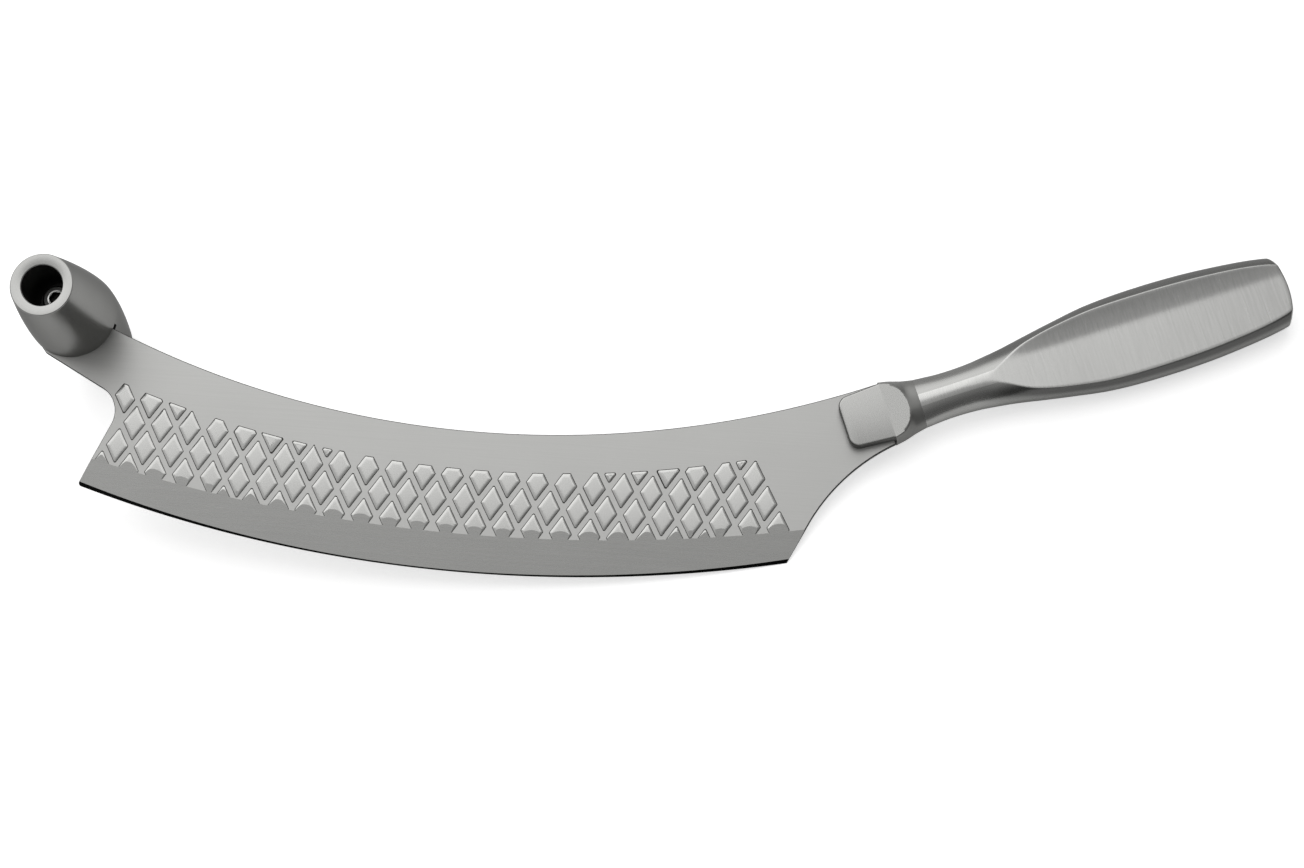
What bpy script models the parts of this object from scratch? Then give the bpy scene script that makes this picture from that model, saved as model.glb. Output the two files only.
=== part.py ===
"""Stainless cheese knife with a cross grip on the tip of its blade.

Run with: blender --background --python part.py
Metres, +Z up. Every piece is drawn in the blade's own axes: X runs along the chord of the cutting
edge toward the handle, Y from the cutting edge to the spine, Z from the middle of the sheet to the
front face. The blade, the bolster, the hollow handle, the cross grip and its screw are then laid
down together, as the knife comes to rest on a table: on the grip's rim, the cutting edge and the
back of the handle.
"""

import math

import bmesh
import bpy
from mathutils import Matrix, Vector

# Fits
CLEARANCE = 0.0003
OVERCUT = 0.002

# Blade sheet and its outline
BLADE_THICKNESS = 0.0022
EDGE_CHORD = 0.2165
EDGE_BELLY = 0.0137
HEEL_DROP = 0.0004
BLADE_DEPTH = 0.0428
SPINE_RADIUS = 0.301
SPINE_OFFSET = 0.0038
HEEL_ANGLE = math.radians(67.0)
HEEL_STRAIGHT = 0.0130
HEEL_MEET = 0.00974
TIP_ANGLE = math.radians(69.3)
TIP_CORNER_RADIUS = 0.0010
NECK_ANGLE = math.radians(154.7)
NECK_FILLET = 0.0085
NECK_DROP = 0.0144

# Grind of the cutting edge
LAND_HALF = 0.00005
MICRO_MIDDLE = 0.00035
MICRO_ENDS = 0.0012
GRIND_MIDDLE = 0.0112
GRIND_ENDS = 0.0089
GRIND_OVERRUN = 0.0030

# Raised lozenges on both faces, counted from the one at the anchor
PITCH_ALONG = 0.00861
PITCH_ACROSS = 0.00734
ROW_ANGLE = math.radians(0.97)
LATTICE_ANCHOR = (0.0055, 0.0150)
LOZENGE_WIDTH = 0.0063
LOZENGE_HEIGHT = 0.0104
LOZENGE_ROUND = 0.0004
LOZENGE_ROUND_SHARE = 0.33
LOZENGE_SHOULDER = 0.00009
LOZENGE_CROWN = 0.00014
LOZENGE_SLOPE = 0.00014
LOZENGE_LEAST = 0.0005
LOZENGE_TRACE = 0.0019
LOZENGE_MARGIN = 0.0012
BAND_RADIUS = 0.3479
BAND_DROP = 0.0111
FIRST_COLUMN = -14
LAST_COLUMN = 11
FIRST_ROW = -2
LAST_ROW = 2

# Handle and bolster, along the handle's own axis from the joint between them
JOINT_BEHIND_HEEL = 0.0341
JOINT_BELOW_SPINE = 0.0098
HANDLE_ANGLE = math.radians(23.8)
HANDLE_LENGTH = 0.1149
HANDLE_WALL = 0.0012
BUTT_RADIUS = 0.025
FACET_HALF = 0.0058
FACET_CROWN_RADIUS = 0.180
# share of the handle's length, half width and half depth of the round body before it is faceted
HANDLE_STATIONS = (
    (0.000, 0.00758, 0.00500),
    (0.070, 0.00700, 0.00535),
    (0.139, 0.00715, 0.00575),
    (0.191, 0.00780, 0.00585),
    (0.244, 0.00865, 0.00655),
    (0.313, 0.01010, 0.00880),
    (0.383, 0.01155, 0.00985),
    (0.487, 0.01345, 0.00990),
    (0.609, 0.01418, 0.00960),
    (0.748, 0.01392, 0.00930),
    (0.870, 0.01275, 0.00890),
    (0.949, 0.01150, 0.00820),
    (0.992, 0.01010, 0.00750),
    (1.027, 0.00640, 0.00700),
)
SPIGOT_LENGTH = 0.009

CHEEK_LENGTH = 0.0236
CHEEK_HALF = 0.0051
CHEEK_FRONT_WIDTH = 0.0155
CHEEK_BACK_WIDTH = 0.0174
CHEEK_CORNER = 0.0033
SHOULDER_BACK = 0.0101
# share of the collar's length, half width and half depth before its flats are ground
COLLAR_STATIONS = (
    (-1.000, 0.00980, 0.0109),
    (-0.713, 0.00930, 0.0092),
    (-0.475, 0.00868, 0.0066),
    (-0.317, 0.00825, 0.0053),
)
TANG_WIDTH = 0.0110
TANG_LENGTH = 0.0070

# Cross grip, its screw and the blade's tongue inside it
GRIP_AHEAD_OF_TIP = 0.01005
GRIP_BELOW_SPINE = 0.0022
GRIP_LENGTH = 0.0712
GRIP_MIDDLE_RADIUS = 0.0137
GRIP_END_RADIUS = 0.0095
GRIP_BELLY = 1.45
GRIP_ROUND = 0.0004
GRIP_BORE = 0.0125
NEAR_SEAT = 0.0141
FAR_SEAT = 0.0125
TONGUE_RECESS = 0.0004
SLOT_REACH = 0.0044
EYE_REACH = 0.0060
SCREW_DIAMETER = 0.0050
SCREW_LENGTH = 0.0250
SCREW_HEAD_DIAMETER = 0.0085
SCREW_HEAD_HEIGHT = 0.0050
SCREW_HEAD_CHAMFER = 0.0006
SOCKET_WIDTH = 0.0040
SOCKET_DEPTH = 0.0025

# Facet counts
EDGE_STEPS = 40
SPINE_STEPS = 32
HEEL_STEPS = 10
FILLET_STEPS = 6
TONGUE_STEPS = 14
HANDLE_SIDES = 32
HANDLE_RINGS = 24
COLLAR_RINGS = 8
SPIGOT_RINGS = 4
GRIP_SIDES = 40
GRIP_RINGS = 14
SCREW_SIDES = 24
BUTT_STEPS = 16
SHARP_ANGLE = math.radians(28.0)

# How far from straight down the underside may point when the knife has come to rest
LEAST_DROP = 0.7

# Sizes that follow from the ones above
SHEET_HALF = BLADE_THICKNESS / 2
TIP_CORNER = Vector((-EDGE_CHORD / 2, 0.0))
HEEL_CORNER = Vector((EDGE_CHORD / 2, -HEEL_DROP))
EDGE_HALF = (HEEL_CORNER - TIP_CORNER) / 2
EDGE_RADIUS = (EDGE_HALF.length**2 + EDGE_BELLY**2) / (2 * EDGE_BELLY)
EDGE_UP = Vector((-EDGE_HALF.y, EDGE_HALF.x)).normalized()
EDGE_CENTRE = TIP_CORNER + EDGE_HALF + EDGE_UP * (EDGE_RADIUS - EDGE_BELLY)
SPINE_CENTRE = Vector((SPINE_OFFSET, BLADE_DEPTH - EDGE_BELLY + SPINE_RADIUS))
BAND_CENTRE = SPINE_CENTRE + Vector((0.0, BAND_RADIUS - SPINE_RADIUS - BAND_DROP))
GRIND_RISE = SHEET_HALF - LAND_HALF
GRIND_SLOPE = GRIND_RISE * (MICRO_ENDS - MICRO_MIDDLE) / (MICRO_ENDS * GRIND_MIDDLE - MICRO_MIDDLE * GRIND_ENDS)
MICRO_SLOPE = (GRIND_RISE - GRIND_SLOPE * (GRIND_MIDDLE - MICRO_MIDDLE)) / MICRO_MIDDLE
HANDLE_AXIS = Vector((math.cos(HANDLE_ANGLE), math.sin(HANDLE_ANGLE)))
HANDLE_SIDE = Vector((-HANDLE_AXIS.y, HANDLE_AXIS.x))
NECK_AXIS = Vector((math.cos(NECK_ANGLE), math.sin(NECK_ANGLE)))
NECK_SIDE = Vector((NECK_AXIS.y, -NECK_AXIS.x))
TONGUE_RADIUS = GRIP_MIDDLE_RADIUS - TONGUE_RECESS
SLOT_HALF = SHEET_HALF + CLEARANCE
SCREW_HOLE = SCREW_DIAMETER + 2 * CLEARANCE


# Plane geometry
def heading(angle):
    """Unit vector in the blade's plane at an angle from X."""
    return Vector((math.cos(angle), math.sin(angle)))


def angle_at(centre, point):
    """Angle of a point round a centre."""
    return math.atan2(point.y - centre.y, point.x - centre.x)


def arc(centre, radius, start, end, steps):
    """Points of an arc from one angle to another, both ends included."""
    return [centre + radius * heading(start + (end - start) * i / steps) for i in range(steps + 1)]


def below_spine(along, depth):
    """A point at a place along X and a depth below the spine's arc, as if the arc ran on."""
    radius = SPINE_RADIUS + depth
    return Vector((along, SPINE_CENTRE.y - math.sqrt(radius**2 - (along - SPINE_CENTRE.x) ** 2)))


def first_crossing(centre, radius, point, direction):
    """Where a line from a point outside a circle first meets it."""
    toward = point - centre
    along = toward.dot(direction)
    root = math.sqrt(along * along - toward.dot(toward) + radius * radius)
    return point + direction * (-along - root)


def rounded(before, corner, after, radius, steps):
    """Points of the arc that rounds a corner between two straight sides."""
    back = (before - corner).normalized()
    ahead = (after - corner).normalized()
    half = back.angle(ahead) / 2
    centre = corner + (back + ahead).normalized() * (radius / math.sin(half))
    reach = radius / math.tan(half)
    start = angle_at(centre, corner + back * reach)
    turn = angle_at(centre, corner + ahead * reach) - start
    turn = (turn + math.pi) % math.tau - math.pi
    return arc(centre, radius, start, start + turn, steps)


def clipped(points, through, inward):
    """The part of a convex outline on the inner side of a line."""
    kept = []
    for here, there in zip(points, points[1:] + points[:1]):
        a = (here - through).dot(inward)
        b = (there - through).dot(inward)
        if a >= 0:
            kept.append(here)
        if a * b < 0:
            kept.append(here + (there - here) * (a / (a - b)))
    return kept


def inner_reach(points):
    """Middle of a convex outline and the distance from there to its nearest side."""
    middle = sum(points, Vector((0, 0))) / len(points)
    sides = zip(points, points[1:] + points[:1])
    reach = min(abs((there - here).normalized().cross(middle - here)) for here, there in sides)
    return middle, reach


def shrunk(points, distance):
    """A convex outline drawn toward its middle until the nearest side has moved by a distance."""
    middle, reach = inner_reach(points)
    return [middle + (point - middle) * (1 - distance / reach) for point in points]


def encloses(outline, point):
    """Whether an outline goes round a point."""
    inside = False
    for here, there in zip(outline, outline[1:] + outline[:1]):
        if (here.y > point.y) != (there.y > point.y):
            reach = here.x + (there.x - here.x) * (point.y - here.y) / (there.y - here.y)
            inside = inside != (point.x < reach)
    return inside


# Where the handle and the cross grip sit on the blade
JOINT = below_spine(HEEL_CORNER.x + JOINT_BEHIND_HEEL, JOINT_BELOW_SPINE)
GRIP = below_spine(TIP_CORNER.x - GRIP_AHEAD_OF_TIP, GRIP_BELOW_SPINE)


def along_handle(distance, across):
    """A point of the blade's plane given along and across the handle's axis."""
    return JOINT + HANDLE_AXIS * distance + HANDLE_SIDE * across


def stretched(stations, length):
    """Stations with their shares of a length turned into distances."""
    return [(share * length, half_width, half_depth) for share, half_width, half_depth in stations]


def smooth_station(stations, place):
    """Half width and half depth at a place, on a smooth curve through the stations."""
    places = [station[0] for station in stations]
    last = len(places) - 2
    span = next((i for i in range(last) if place < places[i + 1]), last)
    before, after = places[span], places[span + 1]
    t = (place - before) / (after - before)
    sizes = []
    for column in (1, 2):
        here, there = stations[span][column], stations[span + 1][column]
        slopes = []
        for knot in (span, span + 1):
            low, high = max(knot - 1, 0), min(knot + 1, len(places) - 1)
            slopes.append((stations[high][column] - stations[low][column]) / (places[high] - places[low]))
        width = after - before
        sizes.append(
            (2 * t**3 - 3 * t**2 + 1) * here
            + (t**3 - 2 * t**2 + t) * width * slopes[0]
            + (3 * t**2 - 2 * t**3) * there
            + (t**3 - t**2) * width * slopes[1]
        )
    return sizes


# Blade outline
def heel_curve(finish):
    """The concave curve that leaves the heel's straight side smoothly and runs to a finish."""
    start = HEEL_CORNER + heading(HEEL_ANGLE) * HEEL_STRAIGHT
    inward = heading(HEEL_ANGLE - math.pi / 2)
    chord = finish - start
    radius = chord.length_squared / (2 * chord.dot(inward))
    centre = start + inward * radius
    return arc(centre, radius, angle_at(centre, start), angle_at(centre, finish), HEEL_STEPS)


def tongue_outline():
    """The blade's end inside the cross grip, from the spine round to the neck's lower side."""
    top = SLOT_REACH - CLEARANCE
    foot = GRIP - NECK_AXIS * (EYE_REACH + top)
    reach = math.sqrt(TONGUE_RADIUS**2 - top**2)
    start = angle_at(GRIP, GRIP + NECK_AXIS * reach + NECK_SIDE * top)
    end = angle_at(Vector((0, 0)), NECK_AXIS * EYE_REACH - NECK_SIDE * TONGUE_RADIUS) + math.tau
    return [
        first_crossing(SPINE_CENTRE, SPINE_RADIUS, foot, NECK_SIDE),
        GRIP - NECK_AXIS * EYE_REACH + NECK_SIDE * top,
        *arc(GRIP, TONGUE_RADIUS, start, end, TONGUE_STEPS),
        GRIP - NECK_SIDE * NECK_DROP,
    ]


def blade_outline():
    """The sheet's outline, counterclockwise from the tip end of the cutting edge."""
    edge = arc(
        EDGE_CENTRE,
        EDGE_RADIUS,
        angle_at(EDGE_CENTRE, TIP_CORNER),
        angle_at(EDGE_CENTRE, HEEL_CORNER),
        EDGE_STEPS,
    )
    shoulder = -SHOULDER_BACK - CLEARANCE
    heel = heel_curve(along_handle(shoulder, -HEEL_MEET))
    spine_end = first_crossing(SPINE_CENTRE, SPINE_RADIUS, along_handle(shoulder, 0.0), HANDLE_SIDE)
    tang_tip = shoulder + TANG_LENGTH
    tang = [
        along_handle(shoulder, -TANG_WIDTH / 2),
        along_handle(tang_tip, -TANG_WIDTH / 2),
        along_handle(tang_tip, TANG_WIDTH / 2),
        along_handle(shoulder, TANG_WIDTH / 2),
    ]
    tongue = tongue_outline()
    spine = arc(
        SPINE_CENTRE,
        SPINE_RADIUS,
        angle_at(SPINE_CENTRE, spine_end),
        angle_at(SPINE_CENTRE, tongue[0]),
        SPINE_STEPS,
    )
    neck_foot = tongue[-1]
    tip_side = heading(TIP_ANGLE)
    gap = TIP_CORNER - neck_foot
    meet = gap.cross(tip_side) / NECK_AXIS.cross(tip_side)
    neck_corner = neck_foot + NECK_AXIS * meet
    inner = rounded(neck_foot, neck_corner, TIP_CORNER, NECK_FILLET, FILLET_STEPS)
    tip = rounded(neck_corner, TIP_CORNER, edge[1], TIP_CORNER_RADIUS, 2)
    return edge[1:] + heel + tang + spine + tongue[1:] + inner + tip


# Lozenge pattern
def lozenge_outline(column, row, outline):
    """One lozenge of the lattice, cut off by the band's upper border or the tip, or nothing."""
    along = heading(ROW_ANGLE)
    across = Vector((-along.y, along.x))
    place = (column + row / 2) * PITCH_ALONG
    centre = Vector(LATTICE_ANCHOR) + along * place - across * row * PITCH_ACROSS
    points = [
        centre - across * LOZENGE_HEIGHT / 2,
        centre + along * LOZENGE_WIDTH / 2,
        centre + across * LOZENGE_HEIGHT / 2,
        centre - along * LOZENGE_WIDTH / 2,
    ]
    outward = (centre - BAND_CENTRE).normalized()
    points = clipped(points, BAND_CENTRE + outward * BAND_RADIUS, outward)
    if not all(encloses(outline, point) for point in points):
        inward = heading(TIP_ANGLE - math.pi / 2)
        points = clipped(points, TIP_CORNER + inward * LOZENGE_MARGIN, inward)
    if len(points) < 3 or not all(encloses(outline, point) for point in points):
        return None
    if inner_reach(points)[1] < LOZENGE_LEAST or not stands_clear(points):
        return None
    corners = []
    for i, corner in enumerate(points):
        before, after = points[i - 1], points[(i + 1) % len(points)]
        half = (before - corner).angle(after - corner) / 2
        room = min((before - corner).length, (after - corner).length) * math.tan(half) * LOZENGE_ROUND_SHARE
        corners += rounded(before, corner, after, min(LOZENGE_ROUND, room), 1)
    return corners


def stands_clear(points):
    """Whether a lozenge reaches far enough above the border of the ground edge to leave a trace."""
    centre, radius = grind_border()
    depth = max(radius - (point - centre).length for point in points)
    return depth > LOZENGE_TRACE


def lozenge_mesh(shape, points, side):
    """Add one lozenge that rises from inside the sheet: a steep side and a low crown."""
    foot = shrunk(points, -LOZENGE_SLOPE)
    shoulder = shrunk(points, LOZENGE_SLOPE)
    low = [shape.verts.new((*point, side * (SHEET_HALF - LOZENGE_SHOULDER))) for point in foot]
    high = [shape.verts.new((*point, side * (SHEET_HALF + LOZENGE_SHOULDER))) for point in shoulder]
    crown = shape.verts.new((*inner_reach(points)[0], side * (SHEET_HALF + LOZENGE_CROWN)))
    for i in range(len(points)):
        shape.faces.new((low[i - 1], low[i], high[i], high[i - 1]))
        shape.faces.new((high[i - 1], high[i], crown))
    shape.faces.new(low[::-1])


# Grind of the cutting edge
def grind_border():
    """Centre and radius of the border where the ground bevel begins on the face."""
    low = Vector((0.0, GRIND_MIDDLE - EDGE_BELLY))
    corner = TIP_CORNER + (EDGE_CENTRE - TIP_CORNER).normalized() * GRIND_ENDS
    rise = corner.y - low.y
    radius = (corner.x**2 + rise**2) / (2 * rise)
    return Vector((0.0, low.y + radius)), radius


def grind_cutter(name, side):
    """What the wheel takes off one face: a main bevel and a narrow one at the very edge."""
    centre, radius = grind_border()
    overrun = OVERCUT * 2 / EDGE_RADIUS
    start = angle_at(EDGE_CENTRE, TIP_CORNER) - overrun
    end = angle_at(EDGE_CENTRE, HEEL_CORNER) + overrun
    shape = bmesh.new()
    rings = []
    for point in arc(EDGE_CENTRE, EDGE_RADIUS, start, end, EDGE_STEPS + 2):
        inward = (EDGE_CENTRE - point).normalized()
        width = (first_crossing(centre, radius, point, inward) - point).length
        micro = (GRIND_RISE - GRIND_SLOPE * width) / (MICRO_SLOPE - GRIND_SLOPE)
        profile = (
            (-OVERCUT, LAND_HALF - OVERCUT * MICRO_SLOPE),
            (micro, LAND_HALF + micro * MICRO_SLOPE),
            (width + GRIND_OVERRUN, SHEET_HALF + GRIND_OVERRUN * GRIND_SLOPE),
            (width + GRIND_OVERRUN, SHEET_HALF + OVERCUT),
            (-OVERCUT, SHEET_HALF + OVERCUT),
        )
        rings.append([shape.verts.new((*(point + inward * v), side * z)) for v, z in profile])
    bridge(shape, rings)
    return cutter_object(name, shape)


# Solid modelling
def bridge(shape, rings):
    """Skin a row of rings of equal count and close both ends."""
    for near, far in zip(rings, rings[1:]):
        for i in range(len(near)):
            j = (i + 1) % len(near)
            shape.faces.new((near[i], near[j], far[j], far[i]))
    shape.faces.new(rings[0][::-1])
    shape.faces.new(rings[-1])


def prism(points, low, high):
    """An outline of the plane drawn out between two heights."""
    shape = bmesh.new()
    rings = [[shape.verts.new((*point, level)) for point in points] for level in (low, high)]
    bridge(shape, rings)
    return shape


def revolved(profile, sides):
    """A closed half section of radius and height, turned once round Z."""
    shape = bmesh.new()
    rings = []
    for i in range(sides):
        turn = math.tau * i / sides
        rings.append([shape.verts.new((r * math.cos(turn), r * math.sin(turn), z)) for r, z in profile])
    for near, far in zip(rings, rings[1:] + rings[:1]):
        for i in range(len(profile)):
            j = (i + 1) % len(profile)
            shape.faces.new((near[i], near[j], far[j], far[i]))
    return shape


def turned_pin(profile, sides):
    """A solid of revolution whose half section starts and ends on the axis."""
    shape = bmesh.new()
    rings = []
    for r, z in profile:
        ring = []
        for i in range(sides):
            turn = math.tau * i / sides
            ring.append(shape.verts.new((r * math.cos(turn), r * math.sin(turn), z)))
        rings.append(ring)
    bridge(shape, rings)
    return shape


def finish_mesh(name, shape):
    """Turn a bmesh into a mesh whose faces point outward."""
    bmesh.ops.recalc_face_normals(shape, faces=shape.faces)
    mesh = bpy.data.meshes.new(name)
    shape.to_mesh(mesh)
    shape.free()
    return mesh


def cutter_object(name, shape):
    """A helper body that only cuts or joins and isn't a piece of the knife."""
    helper = bpy.data.objects.new(name, finish_mesh(name, shape))
    bpy.context.scene.collection.objects.link(helper)
    helper.hide_render = True
    helper.display_type = "WIRE"
    return helper


def piece(name, shape, material):
    """A piece of the knife with its own material."""
    body = bpy.data.objects.new(name, finish_mesh(name, shape))
    bpy.context.scene.collection.objects.link(body)
    body.data.materials.append(material)
    return body


def combine(body, helper, operation):
    """Add an exact boolean between a body and a helper that shares its axes."""
    step = body.modifiers.new(f"{operation.lower()} {helper.name}", "BOOLEAN")
    step.operation = operation
    step.solver = "EXACT"
    step.object = helper
    helper.parent = body


def steel(name, colour, roughness):
    """A stainless steel of one finish."""
    material = bpy.data.materials.new(name)
    material.use_nodes = True
    shader = material.node_tree.nodes["Principled BSDF"]
    shader.inputs["Base Color"].default_value = (*colour, 1.0)
    shader.inputs["Metallic"].default_value = 1.0
    shader.inputs["Roughness"].default_value = roughness
    return material


# Handle and bolster bodies
def station_rings(shape, stations, places, wall):
    """Oval rings along the handle's axis, each drawn in by a wall."""
    rings = []
    for place in places:
        half_width, half_depth = smooth_station(stations, place)
        ring = []
        for i in range(HANDLE_SIDES):
            turn = math.tau * i / HANDLE_SIDES
            across = (half_width - wall) * math.cos(turn)
            up = (half_depth - wall) * math.sin(turn)
            ring.append(shape.verts.new((place, across, up)))
        rings.append(ring)
    return rings


def oval_body(stations, start, end, rings, wall):
    """A flowing oval body between two places on the handle's axis."""
    shape = bmesh.new()
    places = [start + (end - start) * i / rings for i in range(rings + 1)]
    bridge(shape, station_rings(shape, stations, places, wall))
    return shape


def facet_envelope(wall):
    """The two slightly crowned facets and the round butt that the oval body is ground to."""
    shape = bmesh.new()
    widest = max(station[1] for station in HANDLE_STATIONS) + OVERCUT
    radius = BUTT_RADIUS - wall
    rings = []
    for i in range(BUTT_STEPS + 1):
        across = widest * (2 * i / BUTT_STEPS - 1)
        up = FACET_HALF - wall - across**2 / (2 * FACET_CROWN_RADIUS)
        butt = HANDLE_LENGTH - BUTT_RADIUS + math.sqrt(radius**2 - across**2)
        ring = [(-OVERCUT, up), (butt, up), (butt, -up), (-OVERCUT, -up)]
        rings.append([shape.verts.new((along, across, level)) for along, level in ring])
    bridge(shape, rings)
    return shape


def plate(low, high, half):
    """A rectangle along the handle's axis, the same width on both sides of it."""
    return [Vector((low, -half)), Vector((high, -half)), Vector((high, half)), Vector((low, half))]


def cheek_outline():
    """Plan of the two cheeks that clasp the blade, along and across the handle's axis."""
    front, back = CHEEK_FRONT_WIDTH / 2, CHEEK_BACK_WIDTH / 2
    overlap = -SHOULDER_BACK + CLEARANCE
    corners = [
        Vector((overlap, back)),
        Vector((-CHEEK_LENGTH, front)),
        Vector((-CHEEK_LENGTH, -front)),
        Vector((overlap, -back)),
    ]
    return [
        corners[0],
        *rounded(corners[0], corners[1], corners[2], CHEEK_CORNER, FILLET_STEPS),
        *rounded(corners[1], corners[2], corners[3], CHEEK_CORNER, FILLET_STEPS),
        corners[3],
    ]


# Pieces
def build_blade(material):
    """The sheet with its lozenges, its ground edge and the hole for the grip's screw."""
    outline = blade_outline()
    blade = piece("blade", prism(outline, -SHEET_HALF, SHEET_HALF), material)
    pattern = bmesh.new()
    for row in range(FIRST_ROW, LAST_ROW + 1):
        for column in range(FIRST_COLUMN, LAST_COLUMN + 1):
            points = lozenge_outline(column, row, outline)
            if points:
                lozenge_mesh(pattern, points, 1)
                lozenge_mesh(pattern, points, -1)
    combine(blade, cutter_object("lozenges", pattern), "UNION")
    combine(blade, grind_cutter("front_grind", 1), "DIFFERENCE")
    combine(blade, grind_cutter("back_grind", -1), "DIFFERENCE")
    drill = turned_pin([(SCREW_HOLE / 2, -OVERCUT), (SCREW_HOLE / 2, OVERCUT)], SCREW_SIDES)
    bmesh.ops.translate(drill, verts=drill.verts, vec=(*GRIP, 0.0))
    combine(blade, cutter_object("screw_hole", drill), "DIFFERENCE")
    return blade


def build_bolster(material):
    """The cast collar with its two cheeks, the slot for the blade and the spigot for the handle."""
    handle_stations = stretched(HANDLE_STATIONS, HANDLE_LENGTH)
    stations = [*stretched(COLLAR_STATIONS, SHOULDER_BACK), handle_stations[0]]
    bolster = piece("bolster", oval_body(stations, -SHOULDER_BACK, 0.0, COLLAR_RINGS, 0.0), material)
    cheeks = prism(cheek_outline(), -CHEEK_HALF, CHEEK_HALF)
    combine(bolster, cutter_object("cheeks", cheeks), "UNION")
    reach = CHEEK_LENGTH + OVERCUT
    wide = CHEEK_BACK_WIDTH
    flats = prism(plate(-reach, OVERCUT, wide), -CHEEK_HALF, CHEEK_HALF)
    combine(bolster, cutter_object("flats", flats), "INTERSECT")
    wall = HANDLE_WALL + CLEARANCE
    spigot = oval_body(handle_stations, -OVERCUT, SPIGOT_LENGTH, SPIGOT_RINGS, wall)
    combine(bolster, cutter_object("spigot", spigot), "UNION")
    mouth = plate(-reach, -SHOULDER_BACK, wide)
    pocket = plate(-SHOULDER_BACK, TANG_LENGTH - SHOULDER_BACK, TANG_WIDTH / 2 + CLEARANCE)
    slot = [mouth[0], mouth[1], *pocket, mouth[2], mouth[3]]
    combine(bolster, cutter_object("blade_slot", prism(slot, -SLOT_HALF, SLOT_HALF)), "DIFFERENCE")
    bolster.location = (*JOINT, 0.0)
    bolster.rotation_euler = (0.0, 0.0, HANDLE_ANGLE)
    return bolster


def build_handle(material):
    """The hollow handle: an oval body ground to two facets, open toward the bolster."""
    stations = stretched(HANDLE_STATIONS, HANDLE_LENGTH)
    last = stations[-1][0]
    handle = piece("handle_shell", oval_body(stations, CLEARANCE, last, HANDLE_RINGS, 0.0), material)
    combine(handle, cutter_object("facets", facet_envelope(0.0)), "INTERSECT")
    cavity = oval_body(stations, -OVERCUT, last, HANDLE_RINGS, HANDLE_WALL)
    hollow = cutter_object("cavity", cavity)
    combine(hollow, cutter_object("cavity_facets", facet_envelope(HANDLE_WALL)), "INTERSECT")
    combine(handle, hollow, "DIFFERENCE")
    handle.location = (*JOINT, 0.0)
    handle.rotation_euler = (0.0, 0.0, HANDLE_ANGLE)
    return handle


def grip_radius(height):
    """Outer radius of the turned grip at a height from its middle."""
    share = abs(height) / (GRIP_LENGTH / 2)
    return GRIP_MIDDLE_RADIUS - (GRIP_MIDDLE_RADIUS - GRIP_END_RADIUS) * share**GRIP_BELLY


def build_cross_grip(material):
    """The turned barrel across the blade's tip, bored from both ends and slotted for the blade."""
    half = GRIP_LENGTH / 2
    side = half - GRIP_ROUND
    bore, hole = GRIP_BORE / 2, SCREW_HOLE / 2
    heights = [side - 2 * side * i / GRIP_RINGS for i in range(GRIP_RINGS + 1)]
    outer = [(grip_radius(height), height) for height in heights]
    lip = GRIP_END_RADIUS - GRIP_ROUND
    profile = [
        (lip, half),
        *outer,
        (lip, -half),
        (bore, -half),
        (bore, -FAR_SEAT),
        (hole, -FAR_SEAT),
        (hole, NEAR_SEAT),
        (bore, NEAR_SEAT),
        (bore, half),
    ]
    grip = piece("cross_grip", revolved(profile, GRIP_SIDES), material)
    wide = GRIP_MIDDLE_RADIUS + OVERCUT
    slot = [
        NECK_SIDE * SLOT_REACH - NECK_AXIS * wide,
        NECK_SIDE * SLOT_REACH + NECK_AXIS * wide,
        NECK_AXIS * wide - NECK_SIDE * wide,
        -NECK_AXIS * wide - NECK_SIDE * wide,
    ]
    combine(grip, cutter_object("tongue_slot", prism(slot, -SLOT_HALF, SLOT_HALF)), "DIFFERENCE")
    grip.location = (*GRIP, 0.0)
    return grip


def build_screw(material):
    """The cap screw through the grip and the blade's tongue, with a hexagon socket."""
    shank, head = SCREW_DIAMETER / 2, SCREW_HEAD_DIAMETER / 2
    profile = [
        (shank, -SCREW_LENGTH),
        (shank, 0.0),
        (head, 0.0),
        (head, SCREW_HEAD_HEIGHT - SCREW_HEAD_CHAMFER),
        (head - SCREW_HEAD_CHAMFER, SCREW_HEAD_HEIGHT),
    ]
    screw = piece("grip_screw", turned_pin(profile, SCREW_SIDES), material)
    corner = SOCKET_WIDTH / math.sqrt(3)
    bottom = SCREW_HEAD_HEIGHT - SOCKET_DEPTH
    socket = turned_pin([(corner, bottom), (corner, SCREW_HEAD_HEIGHT + OVERCUT)], 6)
    combine(screw, cutter_object("hexagon_socket", socket), "DIFFERENCE")
    screw.location = (*GRIP, NEAR_SEAT + CLEARANCE)
    return screw


# Rest on a table
def evaluated_points(bodies):
    """World points of every piece, and the centre of their volume."""
    graph = bpy.context.evaluated_depsgraph_get()
    points, moment, volume = [], Vector(), 0.0
    for body in bodies:
        shape = bmesh.new()
        shape.from_object(body, graph)
        shape.transform(body.matrix_world)
        bmesh.ops.triangulate(shape, faces=shape.faces)
        points += [vert.co.copy() for vert in shape.verts]
        for face in shape.faces:
            a, b, c = (vert.co for vert in face.verts)
            share = a.dot(b.cross(c)) / 6
            volume += share
            moment += (a + b + c) / 4 * share
        shape.free()
    return points, moment / volume


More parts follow.
